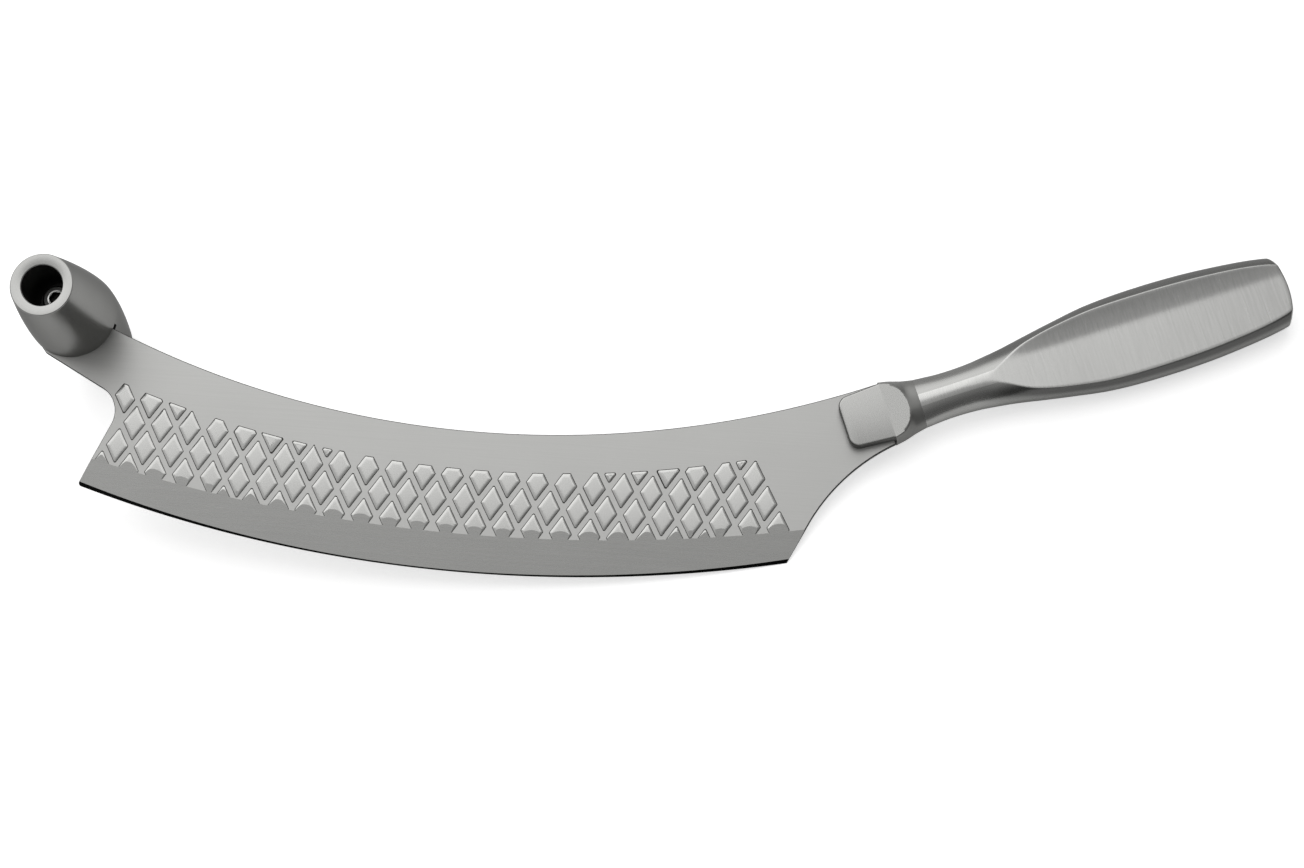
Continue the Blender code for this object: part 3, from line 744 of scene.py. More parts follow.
@dataclass
class Blade(Piece):
    """The sheet with its neck, its raised lozenges and its ground edge."""

    plan: Plan
    # outline
    tip_angle: float = math.radians(69.3)
    tip_round: float = 1.0 * MM
    neck_fillet: float = 8.5 * MM
    neck_drop: float = 14.4 * MM
    heel_angle: float = math.radians(67.0)
    heel_straight: float = 13.0 * MM
    heel_meet: float = 9.74 * MM
    tongue_recess: float = 0.4 * MM
    eye_reach: float = 6.0 * MM
    rim: float = 0.22 * MM
    rim_share: float = 0.3
    edge_steps: int = 160
    heel_steps: int = 36
    spine_steps: int = 150
    neck_steps: int = 18
    tip_steps: int = 8
    tongue_steps: int = 40
    eye_sides: int = 48
    crease_angle: float = 60.0
    # ground edge
    land_half: float = 0.05 * MM
    micro_middle: float = 0.50 * MM
    micro_ends: float = 1.2 * MM
    grind_middle: float = 11.2 * MM
    grind_ends: float = 8.9 * MM
    grind_spare: float = 8.0 * MM
    grind_steps: int = 164
    overrun: float = 3.0 * MM
    # lattice of the lozenges and where it ends
    pitch_along: float = 8.61 * MM
    pitch_across: float = 7.34 * MM
    row_angle: float = math.radians(0.97)
    anchor: Pair = (5.5 * MM, 15.0 * MM)
    columns: range = range(-14, 12)
    rows: range = range(-2, 3)
    band_radius: float = 347.9 * MM
    band_drop: float = 12.05 * MM
    band_shift: float = -0.85 * MM
    least_reach: float = 0.70 * MM
    least_trace: float = 1.9 * MM
    rim_margin: float = 1.7 * MM
    tip_margin: float = 1.2 * MM
    # one lozenge
    lozenge_width: float = 6.3 * MM
    lozenge_height: float = 10.4 * MM
    lozenge_round: float = 0.4 * MM
    round_share: float = 0.33
    round_steps: int = 4
    side_shares: Triple = (0.25, 0.5, 0.75)
    # steps of its wall: how far in from its outline, and its share of the wall's height
    wall: tuple[Pair, ...] = (
        (-0.32 * MM, -0.60),
        (-0.30 * MM, 0.02),
        (-0.10 * MM, 0.06),
        (0.04 * MM, 0.38),
        (0.15 * MM, 0.60),
        (0.30 * MM, 0.80),
        (0.45 * MM, 0.92),
        (0.65 * MM, 1.00),
    )
    # number of the wall's band that is painted dark as the shade at its foot
    foot_band: int = 1
    # steps of its top: share of the way to its middle
    top: Triple = (0.40, 0.60, 0.80)
    wall_height: float = 0.12 * MM
    crown: float = 0.09 * MM
    crown_fall: float = 0.5

    finishes = (
        # brushed lengthwise on a belt: an even, quiet grey with hair lines
        SteelFinish(
            "brushed_stainless_face", "#B8B8B6", 0.38, Lay.STRAIGHT, angle=2, length=30 * MM,
            depth=0.0004 * MM, anisotropy=0.6, tone=0.07,
        ),
        # pressed from the brushed sheet and rubbed by the die: each pillow reads a little brighter
        SteelFinish(
            "pressed_satin_lozenge", "#B9B9B7", 0.23, Lay.STRAIGHT, angle=2, depth=0.0004 * MM,
            anisotropy=0.3,
        ),
        # ground by a fine wheel along the edge: a smooth darker band
        SteelFinish(
            "wheel_ground_bevel", "#AFAFAD", 0.27, Lay.STRAIGHT, angle=2, length=30 * MM,
            depth=0.0004 * MM,
        ),
        # honed edge, painted near black as a reflection of the dark side of the room: a hairline
        SteelFinish("honed_edge_painted_reflection", "#161616", 0.18, Lay.STRAIGHT, tone=0.02),
        # sheared and tumbled side of the sheet: dull, and painted dark as the shade along its
        # outline
        SteelFinish("tumbled_sheet_rim_painted_shade", "#383836", 0.42, Lay.CAST, spacing=0.5 * MM),
        # pressed corner at a lozenge's foot, painted dark as the shade in that corner: a thin dark
        # line
        SteelFinish("pressed_foot_painted_shade_line", "#3C3C3A", 0.40, Lay.CAST, spacing=0.5 * MM),
    )

    def outline(self) -> list[Vector]:
        """Outline of the sheet, counterclockwise from the tip.

        Returns:
            Points of the edge, heel, tang, spine, tongue, neck and tip.
        """
        plan = self.plan
        centre = plan.edge_centre
        edge = arc_between(centre, plan.edge_radius, plan.tip, plan.heel, self.edge_steps)
        shoulder = -plan.shoulder_back - plan.clearance
        start = plan.heel + heading(self.heel_angle) * self.heel_straight
        finish = plan.along_handle(shoulder, -self.heel_meet)
        inward = heading(self.heel_angle - math.pi / 2)
        chord = finish - start
        radius = chord.length_squared / (2 * chord.dot(inward))
        heel = arc_between(start + inward * radius, radius, start, finish, self.heel_steps)
        end, half = shoulder + plan.tang_length, plan.tang_width / 2
        corners = (shoulder, -half), (end, -half), (end, half), (shoulder, half)
        tang = [plan.along_handle(*corner) for corner in corners]
        centre, radius = plan.spine_centre, plan.spine_radius
        side = left_of(plan.handle_axis)
        start = first_crossing(centre, radius, plan.along_handle(shoulder, 0.0), side)
        tongue = self.tongue()
        spine = arc_between(centre, radius, start, tongue[0], self.spine_steps)
        foot, tip_side = tongue[-1], heading(self.tip_angle)
        meet = (plan.tip - foot).cross(tip_side) / plan.neck_axis.cross(tip_side)
        corner = foot + plan.neck_axis * meet
        inner = rounded(foot, corner, plan.tip, self.neck_fillet, self.neck_steps)
        point = rounded(corner, plan.tip, edge[1], self.tip_round, self.tip_steps)
        return edge[1:] + heel + tang + spine + tongue[1:] + inner + point

    def tongue(self) -> list[Vector]:
        """The sheet's end inside the cross grip.

        Returns:
            Points from the spine round to the neck's lower side.
        """
        plan, eye = self.plan, self.eye_reach
        axis, side = plan.neck_axis, plan.neck_side
        top = plan.slot_reach - plan.clearance
        foot = plan.grip - axis * (eye + top)
        radius = plan.grip_middle_radius - self.tongue_recess
        reach = math.sqrt(radius**2 - top**2)
        start = angle_at(plan.grip, plan.grip + axis * reach + side * top)
        end = angle_at(Vector((0, 0)), axis * eye - side * radius) + math.tau
        return [
            first_crossing(plan.spine_centre, plan.spine_radius, foot, side),
            plan.grip - axis * eye + side * top,
            *arc(plan.grip, radius, start, end, self.tongue_steps),
            plan.grip - side * self.neck_drop,
        ]

    def sheet(self, outline: list[Vector]) -> Body:
        """Draw the outline out to the sheet's thickness, with softened rims.

        Args:
            outline: outline of the sheet.

        Returns:
            The flat body.
        """
        body, half, soft = Body(), self.plan.sheet_half, self.rim_share * self.rim
        steps = (self.rim, half), (soft, half - soft), (0.0, half - self.rim)
        levels = [(inset, -z) for inset, z in steps] + [(inset, z) for inset, z in steps[::-1]]
        rings = [body.ring((*p, z) for p in offset_outline(outline, inset)) for inset, z in levels]
        body.loft(rings, BladeFinish.RIM, (BladeFinish.FACE, BladeFinish.FACE))
        return body

    def lozenge_plan(self, column: int, row: int, outline: list[Vector]) -> list[Vector]:
        """Outline of one lozenge, cut off by the band's upper border or the tip.

        Args:
            column: its place along the row.
            row: its row, counted from the one at the anchor.
            outline: outline of the sheet.

        Returns:
            Its rounded outline, or nothing where the pattern has ended.
        """
        plan = self.plan
        along = heading(self.row_angle)
        across = left_of(along)
        centre = Vector(self.anchor) + along * ((column + row / 2) * self.pitch_along)
        centre -= across * row * self.pitch_across
        high, wide = across * self.lozenge_height / 2, along * self.lozenge_width / 2
        points = [centre - high, centre + wide, centre + high, centre - wide]
        rise = self.band_radius - plan.spine_radius - self.band_drop
        band = plan.spine_centre + Vector((self.band_shift, rise))
        outward = (centre - band).normalized()
        points = clipped(points, band + outward * self.band_radius, outward)
        if not all(encloses(outline, point) for point in points):
            inward = heading(self.tip_angle - math.pi / 2)
            points = clipped(points, plan.tip + inward * self.tip_margin, inward)
        elif points:
            points = self.drawn_in(points, outline)
        if len(points) < 3 or not all(encloses(outline, point) for point in points):
            return []
        border, radius = self.grind_border()
        trace = max(radius - (point - border).length for point in points)
        if self.middle_of(points)[1] < self.least_reach or trace <= self.least_trace:
            return []
        return self.softened(points)

    def softened(self, points: list[Vector]) -> list[Vector]:
        """Round the corners of a lozenge and divide its sides.

        Args:
            points: its sharp outline.

        Returns:
            The outline that its wall follows.
        """
        corners = []
        for i, corner in enumerate(points):
            before, after = points[i - 1], points[(i + 1) % len(points)]
            half = (before - corner).angle(after - corner) / 2
            side = min((before - corner).length, (after - corner).length)
            radius = min(self.lozenge_round, side * math.tan(half) * self.round_share)
            corners.append(rounded(before, corner, after, radius, self.round_steps))
        soft = []
        for here, there in sides_of(corners):
            soft += here + [here[-1].lerp(there[0], share) for share in self.side_shares]
        return soft

    def drawn_in(self, points: list[Vector], outline: list[Vector]) -> list[Vector]:
        """Draw in the side of a lozenge that would run into the sheet's rim.

        Args:
            points: counterclockwise outline of the lozenge.
            outline: outline of the sheet.

        Returns:
            The lozenge, clear of the rim.
        """

        def gap(place: Vector) -> float:
            """Distance from a place to the nearest point of the outline."""
            return min((place - point).length for point in outline)

        nearest = min(gap(point) for point in points)
        if nearest >= self.rim_margin:
            return points
        start, end = min(sides_of(points), key=lambda side: gap(side[0].lerp(side[1], 0.5)))
        inward = left_of(end - start).normalized()
        return clipped(points, start + inward * (self.rim_margin - nearest), inward)

    def middle_of(self, points: list[Vector]) -> tuple[Vector, float]:
        """Find the middle of a convex outline.

        Args:
            points: the outline.

        Returns:
            The middle and the distance from there to the nearest side.
        """
        middle = sum(points, Vector((0, 0))) / len(points)
        sides = [(a, b) for a, b in sides_of(points) if (b - a).length > TOUCHING]
        return middle, min(abs((b - a).normalized().cross(middle - a)) for a, b in sides)

    def lozenge(self, body: Body, points: list[Vector], side: int) -> None:
        """Add one pillow that rises out of the sheet: a soft wall, then a crown across its width.

        Args:
            body: body that takes it.
            points: its outline.
            side: 1 on the front, -1 on the back.
        """
        middle, reach = self.middle_of(points)
        steps = [(inset / reach, rise) for inset, rise in self.wall]
        rings = []
        for share, rise in steps + [(share, 1.0) for share in self.top]:
            ring = []
            for point in points:
                place = middle + (point - middle) * (1 - share)
                height = rise * (self.wall_height + self.crown_at(place - middle))
                ring.append((*place, side * (self.plan.sheet_half + height)))
            rings.append(body.ring(ring))
        # painted shade: the band at a lozenge's foot takes the dark foot finish
        foot, rest = BladeFinish.FOOT, BladeFinish.LOZENGE
        body.loft(rings, lambda step, _: foot if step == self.foot_band else rest)
        top = self.plan.sheet_half + self.wall_height + self.crown
        body.fan(rings[-1], (*middle, side * top), rest)
        body.face(rings[0][::-1], rest)

    def crown_at(self, place: Vector) -> float:
        """Height of the crown over the wall.

        Args:
            place: place from the lozenge's middle.

        Returns:
            The height, greatest along the lozenge's long axis.
        """
        along = 2 * place.x / self.lozenge_width
        across = 2 * place.y / self.lozenge_height
        return self.crown * max(1 - along**2, 0.0) * (1 - self.crown_fall * across**2)

    def grind_border(self) -> tuple[Vector, float]:
        """Find the border where the ground bevel begins on the face.

        Returns:
            Centre and radius of its arc.
        """
        plan = self.plan
        low = Vector((0.0, self.grind_middle - plan.edge_belly))
        corner = plan.tip + (plan.edge_centre - plan.tip).normalized() * self.grind_ends
        rise = corner.y - low.y
        radius = (corner.x**2 + rise**2) / (2 * rise)
        return Vector((0.0, low.y + radius)), radius

    def grind(self, side: int) -> Body:
        """What the wheel takes off one face: a main bevel and a narrow one at the very edge.

        Args:
            side: 1 for the front, -1 for the back.

        Returns:
            The body to cut away.
        """
        plan, land = self.plan, self.land_half
        out, over = plan.overcut, self.overrun
        ends, middle = self.micro_ends, self.micro_middle
        rise = plan.sheet_half - land
        slope = rise * (ends - middle) / (ends * self.grind_middle - middle * self.grind_ends)
        steep = (rise - slope * (self.grind_middle - middle)) / middle
        border, radius = self.grind_border()
        centre = plan.edge_centre
        spare = self.grind_spare / plan.edge_radius
        start, end = angle_at(centre, plan.tip) - spare, angle_at(centre, plan.heel) + spare
        body, rings = Body(), []
        for point in arc(centre, plan.edge_radius, start, end, self.grind_steps):
            inward = (centre - point).normalized()
            width = (first_crossing(border, radius, point, inward) - point).length
            micro = (rise - slope * width) / (steep - slope)
            profile = (
                (-out, land - out * steep),
                (micro, land + micro * steep),
                (width + over, plan.sheet_half + over * slope),
                (width + over, plan.sheet_half + out),
                (-out, plan.sheet_half + out),
            )
            rings.append(body.ring((*(point + inward * v), side * z) for v, z in profile))
        edge, bevel = BladeFinish.EDGE, BladeFinish.BEVEL
        body.loft(rings, lambda _, column: bevel if column else edge, (bevel, bevel))
        return body

    def build(self, materials: list[Material]) -> Object:
        """Make the sheet, raise the lozenges, grind the edge and drill the eye.

        Args:
            materials: in the order of BladeFinish.

        Returns:
            The blade in its own axes.
        """
        plan = self.plan
        outline = self.outline()
        blade = self.sheet(outline).placed("steel_blade", materials)
        pattern = Body()
        for row in self.rows:
            for column in self.columns:
                points = self.lozenge_plan(column, row, outline)
                if points:
                    self.lozenge(pattern, points, 1)
                    self.lozenge(pattern, points, -1)
        circle = arc(plan.grip, plan.screw_hole_radius, 0.0, math.tau, self.eye_sides)[:-1]
        cuts = self.grind(1), self.grind(-1), prism(circle, plan.overcut, BladeFinish.RIM)
        carve(blade, [(pattern, Join.ADD), *((cut, Join.CUT) for cut in cuts)])
        crease(blade, self.crease_angle)
        return blade


def smooth_station(stations: list[Triple], place: float) -> Pair:
    """Half width and half depth at a place, on a smooth curve through the stations.

    Args:
        stations: place, half width and half depth of each.
        place: distance along the handle's axis.

    Returns:
        Half width and half depth.
    """
    places = [station[0] for station in stations]
    last = len(places) - 2
    span = next((i for i in range(last) if place < places[i + 1]), last)
    width = places[span + 1] - places[span]
    t = (place - places[span]) / width
    sizes = []
    for column in (1, 2):
        here, there = stations[span][column], stations[span + 1][column]
        slopes = []
        for knot in (span, span + 1):
            low, high = max(knot - 1, 0), min(knot + 1, last + 1)
            rise = stations[high][column] - stations[low][column]
            slopes.append(rise / (places[high] - places[low]))
        sizes.append(
            (2 * t**3 - 3 * t**2 + 1) * here
            + (t**3 - 2 * t**2 + t) * width * slopes[0]
            + (3 * t**2 - 2 * t**3) * there
            + (t**3 - t**2) * width * slopes[1]
        )
    return sizes[0], sizes[1]


@dataclass(frozen=True)
class Section:
    """An oval section with a flat ground on its front and back."""

    half_width: float
    half_depth: float
    flat: Callable[[float], float]
    blend: float
    shoulder: float = 0.2 * MM
    side_columns: int = 12
    flat_columns: int = 14
    halvings: int = 30
    least_border: float = 0.25

    @property
    def count(self) -> int:
        """Number of points round the section."""
        return 4 * (self.side_columns + self.flat_columns)

    def oval(self, across: float) -> float:
        """Height of the oval at a distance across."""
        return self.half_depth * math.sqrt(max(1 - (across / self.half_width) ** 2, 0.0))

    def border(self, side: int) -> float:
        """Find how far the flat reaches across.

        Args:
            side: 1 or -1.

        Returns:
            The distance from the middle.
        """
        low, high = 0.0, self.half_width
        for _ in range(self.halvings):
            middle = (low + high) / 2
            if self.oval(side * middle) > self.flat(side * middle):
                low = middle
            else:
                high = middle
        return max(low, self.least_border * self.half_width)

    @cached_property
    def borders(self) -> dict[int, float]:
        """How far the flat reaches across on both sides."""
        return {1: self.border(1), -1: self.border(-1)}

    def point(self, column: int) -> Pair:
        """One point of the section, close to its neighbours at the border of the flat.

        Args:
            column: its number, counterclockwise from the widest point.

        Returns:
            Its place across and up.
        """
        half = self.count // 2
        place = column if column < half else self.count - column
        side = 1 if 2 * place <= half else -1
        step = place if side == 1 else half - place
        border = self.borders[side]
        beyond = step - self.side_columns
        if beyond < 0:
            turn = math.acos((border + self.shoulder) / self.half_width)
            across = self.half_width * math.cos(turn * step / (self.side_columns - 1))
        elif beyond:
            across = (border - self.shoulder) * (1 - (beyond - 1) / (self.flat_columns - 1))
        else:
            across = border
        across *= side
        up = soft_min(self.oval(across), self.flat(across), self.blend) if step else 0.0
        return across, up if column < half else -up

    def points(self) -> list[Pair]:
        """All points of the section, counterclockwise from its widest point."""
        return [self.point(column) for column in range(self.count)]

    def on_flat(self, column: int) -> bool:
        """Tell whether a column of the section lies on a flat."""
        half = self.count // 2
        return self.side_columns <= column % half < half - self.side_columns


class HandleFinish(IntEnum):
    """Order of the finishes on the handle."""

    FACET = 0
    SIDE = 1
    BUTT = 2


@dataclass
class Handle(Piece):
    """The hollow handle, ground to two dished facets and a round butt."""

    plan: Plan
    length: float = 114.9 * MM
    wall: float = 1.2 * MM
    mouth: float = 0.02 * MM
    ease: float = 0.13 * MM
    crease_angle: float = 50.0
    # round butt, and from which share of the length the rings lean toward it
    butt_radius: float = 25.0 * MM
    butt_share: float = 0.6
    butt_rounds: int = 4
    rim: float = 0.4 * MM
    rim_turns: Triple = (30, 60, 90)
    butt_steps: Triple = (0.75, 0.5, 0.25)
    rings: int = 130
    inner_rings: int = 24
    # facet: its height over the handle's axis, and the valley along it
    facet_tip: float = 5.8 * MM
    facet_middle: float = 5.2 * MM
    dish_start: float = 20.0 * MM
    dish_run: float = 40.0 * MM
    valley_start: float = 23.0 * MM
    valley_run: float = 16.0 * MM
    valley_from: float = 2.8 * MM
    valley_bend: float = 2.6 * MM
    valley_slope: float = 0.14
    # painted shade and reflection: how much darker the satin is drawn, as a share of its colour,
    # and where that begins
    dark_from: float = 15.0 * MM
    dark_run: float = 13.0 * MM
    crest_from: float = 5.5 * MM
    crest_run: float = 4.0 * MM
    side_from: float = 0.35
    side_run: float = 0.35
    under_from: float = 0.35
    under_run: float = 0.4
    neck_tone: float = 0.70
    crest_tone: float = 0.84
    upper_tone: float = 0.46
    lower_tone: float = 0.80
    under_crease_tone: float = 0.31
    # share of the handle's length, half width and half depth in millimetres before it is faceted
    stations: tuple[Triple, ...] = (
        (0.000, 7.58, 5.00),
        (0.070, 7.00, 5.35),
        (0.139, 7.15, 5.75),
        (0.191, 7.80, 5.85),
        (0.244, 8.65, 6.55),
        (0.313, 10.10, 8.80),
        (0.383, 11.55, 9.85),
        (0.487, 13.45, 9.90),
        (0.609, 14.18, 9.60),
        (0.748, 13.92, 9.30),
        (0.870, 12.75, 8.90),
        (0.949, 11.50, 8.20),
        (0.992, 10.10, 7.50),
        (1.027, 6.40, 7.00),
    )

    finishes = (
        # brushed across on a belt: sharp across the handle and smeared along it; its tone paints
        # shade on the upper crest
        SteelFinish(
            "cross_brushed_facet", "#C1C1BF", 0.25, Lay.STRAIGHT, angle=90, spacing=0.6 * MM,
            depth=0.0005 * MM, anisotropy=0.85, tone=0.15, toned=True,
        ),
        # satin rolled skin: soft along the round neck and the sides, with painted shade in its
        # darker colour and tone
        SteelFinish(
            "satin_round_side_painted_shade", "#A5A5A3", 0.27, Lay.STRAIGHT, length=20 * MM, toned=True,
            grazing=0.70,
        ),
        # belt ground butt, with marks across the thickness
        SteelFinish("ground_butt", "#A8A8A6", 0.34, Lay.STRAIGHT, angle=90, spacing=0.35 * MM),
    )

    @cached_property
    def scaled(self) -> list[Triple]:
        """Stations in metres along the handle."""
        return [(share * self.length, w * MM, d * MM) for share, w, d in self.stations]

    def facet(self, place: float, wall: float) -> Callable[[float], float]:
        """Height of the dished facet across the handle at a place along it.

        Args:
            place: distance along the handle.
            wall: how far below the skin.

        Returns:
            A function from the distance across to the height.
        """
        dish = smooth_share((place - self.dish_start) / self.dish_run)
        slope = self.valley_slope * smooth_share((place - self.valley_start) / self.valley_run)
        level = self.facet_tip - (self.facet_tip - self.facet_middle) * dish - wall

        def height(across: float) -> float:
            """Flat below the valley, then rising toward the spine side.

            Args:
                across: distance across, toward the spine side.

            Returns:
                Height over the handle's axis.
            """
            beyond = max(across - self.valley_from, 0.0)
            bend = min(beyond, self.valley_bend)
            return level + slope * (bend**2 / (2 * self.valley_bend) + beyond - bend)

        return height

    def section(self, place: float, wall: float) -> Section:
        """Section at a place along the handle."""
        width, depth = smooth_station(self.scaled, place)
        return Section(width - wall, depth - wall, self.facet(place, wall), self.ease)

    def tone(self, section: Section, column: int, place: float) -> float:
        """Painted shade and reflection: the satin in full on neck and facets, darker on the sides
        of the handle.

        Args:
            section: section of the skin at that place.
            column: number of the point round the section.
            place: distance along the handle.

        Returns:
            Share of the finish's colour.
        """
        across, up = section.point(column)
        outward = abs(across) / section.half_width
        sidewise = smooth_share((outward - self.side_from) / self.side_run)
        body = smooth_share((place - self.dark_from) / self.dark_run)
        if section.on_flat(column) or section.on_flat((column - 1) % section.count):
            crest = smooth_share((across - self.crest_from) / self.crest_run)
            neck = sidewise if across > 0 else 0.0
            loss = (1 - self.crest_tone) * crest * body
            return 1 - loss - (1 - self.neck_tone) * neck * (1 - body)
        if across > 0:
            low = self.neck_tone + (self.upper_tone - self.neck_tone) * body
        else:
            high = abs(up) / section.flat(across)
            under = smooth_share((high - self.under_from) / self.under_run)
            crease_tone = self.lower_tone + (self.under_crease_tone - self.lower_tone) * under
            low = 1 + (crease_tone - 1) * body
        return 1 - (1 - low) * sidewise

    def butt(self, across: float, wall: float) -> float:
        """Where the round butt cuts the handle at a distance across."""
        radius = self.butt_radius - wall
        return self.length - self.butt_radius + math.sqrt(radius**2 - across**2)

    def places(self, end: float, count: int) -> list[float]:
        """Even places along the handle, from its mouth to an end."""
        return [self.mouth + (end - self.mouth) * i / count for i in range(count + 1)]

    def skin_ring(self, nominal: float, wall: float, back: float) -> list[Triple]:
        """One ring of the skin, drawn toward the shape of the butt as it nears it.

        Args:
            nominal: distance along the handle at its middle.
            wall: how far below the skin.
            back: how far the ring stays off the butt.

        Returns:
            Points along, across and up.
        """
        end = self.length - wall - back
        start = self.length * self.butt_share
        share = smooth_share((nominal - start) / (end - start))
        level = self.section(nominal, wall)
        points = []
        for column in range(level.count):
            place, (across, up) = nominal, level.point(column)
            for _ in range(self.butt_rounds if share else 0):
                place = nominal + share * (self.butt(across, wall) - back - end)
                across, up = self.section(place, wall).point(column)
            points.append((place, across, up))
        return points

    def build(self, materials: list[Material]) -> Object:
        """Make the skin outside and inside.

        Args:
            materials: in the order of HandleFinish.

        Returns:
            The handle in its own axes.
        """
        body = Body()
        facet, side, butt = HandleFinish
        sample = self.section(self.mouth, 0.0)
        places = self.places(self.length - self.rim, self.rings)
        outer = [body.ring(self.skin_ring(place, 0.0, self.rim)) for place in places]
        # painted shade: each point of the outer skin takes its tone
        for row, place in zip(outer, places):
            section = self.section(place, 0.0)
            for column, vert in enumerate(row):
                vert[body.tone] = self.tone(section, column, place)
        lip = outer[-1]
        for inset, back in rim_steps(self.rim, self.rim_turns):
            row = []
            for vert in lip:
                shrink = 1 - inset / math.hypot(vert.co.y, vert.co.z)
                across, up = vert.co.y * shrink, vert.co.z * shrink
                row.append((self.butt(across, 0.0) - back, across, up))
            outer.append(body.ring(row))
        end = [vert.co.yz for vert in outer[-1]]
        for share in self.butt_steps:
            flat = [(across * share, up * share) for across, up in end]
            outer.append(body.ring((self.butt(across, 0.0), across, up) for across, up in flat))

        def finish(step: int, column: int) -> int:
            """Finish of a face of the skin or, past its last ring, of the butt."""
            skin = facet if sample.on_flat(column) else side
            return skin if step < self.rings else butt

        body.loft(outer, finish)
        body.fan(outer[-1], (self.length, 0.0, 0.0), butt)
        floor = self.length - self.wall
        hollow = self.places(floor, self.inner_rings)
        inner = [body.ring(self.skin_ring(place, self.wall, 0.0)) for place in hollow]
        body.loft(inner, butt)
        body.loft([outer[0], inner[0]], butt)
        body.fan(inner[-1], (floor, 0.0, 0.0), butt)
        handle = body.placed("steel_handle", materials)
        crease(handle, self.crease_angle, set())
        return handle


class BolsterFinish(IntEnum):
    """Order of the finishes on the bolster."""

    PAD = 0
    COLLAR = 1
    WALL = 2


@dataclass
class Bolster(Piece):
    """The cast collar with two flat cheeks that clasp the blade, and its spigot."""

    plan: Plan
    handle: Handle
    cheek_length: float = 23.6 * MM
    cheek_half: float = 5.1 * MM
    front_width: float = 15.5 * MM
    back_width: float = 17.4 * MM
    corner: float = 3.3 * MM
    corner_steps: int = 16
    rim: float = 0.6 * MM
    rim_turns: tuple[float, ...] = (20, 40, 60, 80, 90)
    # number of the rim's first band that is brushed with the pad
    pad_band: int = 4
    spigot: float = 9.0 * MM
    ease: float = 0.35 * MM
    level_within: float = 0.005 * MM
    slot_half: float = 1.11 * MM
    pocket_overcut: float = 1.0 * MM
    rings: int = 40
    crease_angle: float = 35.0
    # share of the collar's length, half width and half depth in millimetres before it is flattened
    stations: tuple[Triple, ...] = (
        (-1.000, 9.80, 10.9),
        (-0.713, 9.30, 9.2),
        (-0.475, 8.68, 6.6),
        (-0.317, 8.25, 5.3),
        (0.000, 7.58, 5.0),
    )

    finishes = (
        # flat pad brushed across the blade: the brightest flat of the joint
        SteelFinish(
            "cross_brushed_pad", "#AAAAA8", 0.27, Lay.STRAIGHT, angle=90, spacing=0.6 * MM,
            depth=0.0005 * MM, anisotropy=0.5, tone=0.10,
        ),
        # investment cast and blasted: even and soft, a little darker than the rolled pieces
        SteelFinish("blasted_cast_collar", "#858583", 0.45, Lay.CAST, spacing=0.5 * MM),
        # side of the cheek, left as cast, painted dark as its shade and contact shadow: a dark line
        # round the pad
        SteelFinish("as_cast_cheek_wall_painted_shade", "#5C5C5A", 0.42, Lay.CAST, spacing=0.5 * MM),
    )

    def collar(self) -> Body:
        """The collar, flattened front and back, with the spigot behind it.

        Returns:
            The body, closed.
        """
        back, height = self.plan.shoulder_back, self.cheek_half
        stations = [(share * back, w * MM, d * MM) for share, w, d in self.stations]
        sections = []
        for i in range(self.rings + 1):
            place = -back * (1 - i / self.rings)
            width, depth = smooth_station(stations, place)
            sections.append((place, Section(width, depth, lambda across: height, self.ease)))
        sunk = self.handle.wall + self.plan.clearance
        for place in (0.0, self.spigot / 2, self.spigot):
            sections.append((place, self.handle.section(max(place, self.handle.mouth), sunk)))
        body, cast = Body(), BolsterFinish.COLLAR
        rings = [body.ring((place, a, z) for a, z in cut.points()) for place, cut in sections]
        body.loft(rings, cast, (cast, cast))
        for face in body.shape.faces:
            if all(abs(abs(vert.co.z) - height) < self.level_within for vert in face.verts):
                face.material_index = BolsterFinish.PAD
        return body

    def cheek_plan(self) -> list[Vector]:
        """Outline of a cheek, along and across the handle's axis.

        Returns:
            Points counterclockwise from the upper back corner.
        """
        back, front = self.back_width / 2, self.front_width / 2
        near, far = -self.plan.shoulder_back, -self.cheek_length
        corners = [Vector(p) for p in ((near, back), (far, front), (far, -front), (near, -back))]
        a, b, c, d = corners
        upper = rounded(a, b, c, self.corner, self.corner_steps)
        lower = rounded(b, c, d, self.corner, self.corner_steps)
        return [a, *upper, *lower, d]

    def cheek(self, body: Body, side: int) -> None:
        """Add one cheek with a softened rim.

        Args:
            body: body that takes it.
            side: 1 on the front, -1 on the back.
        """
        plan = self.cheek_plan()
        steps = [(0.0, self.slot_half), (0.0, self.cheek_half - self.rim)]
        for inset, down in rim_steps(self.rim, self.rim_turns):
            steps.append((inset, self.cheek_half - down))
        rings = []
        for inset, height in steps:
            moved = offset_outline(plan, inset)
            moved[0].x = moved[-1].x = -self.plan.shoulder_back
            rings.append(body.ring((*point, side * height) for point in moved))
        pad, cast, wall = BolsterFinish
        # painted shade: the cheek's side and the lower bands of its rim take the dark wall finish
        body.loft(rings, lambda step, _: wall if step < self.pad_band else pad, (cast, pad))

    def build(self, materials: list[Material]) -> Object:
        """Make the collar with its pocket for the tang, and the cheeks.

        Args:
            materials: in the order of BolsterFinish.

        Returns:
            The bolster in the handle's axes.
        """
        plan = self.plan
        bolster = self.collar().placed("steel_bolster", materials)
        half, deep = plan.tang_width / 2 + plan.clearance, plan.tang_length - plan.shoulder_back
        mouth = -plan.shoulder_back - self.pocket_overcut
        corners = [(mouth, -half), (deep, -half), (deep, half), (mouth, half)]
        carve(bolster, [(prism(corners, self.slot_half, BolsterFinish.COLLAR), Join.CUT)])
        cheeks = Body()
        self.cheek(cheeks, 1)
        self.cheek(cheeks, -1)
        bmesh.ops.recalc_face_normals(cheeks.shape, faces=cheeks.shape.faces)
        cheeks.shape.from_mesh(bolster.data)
        cheeks.shape.to_mesh(bolster.data)
        cheeks.shape.free()
        crease(bolster, self.crease_angle)
        return bolster


class GripFinish(IntEnum):
    """Order of the finishes on the cross grip."""

    BARREL = 0
    RING = 1
    BORE = 2


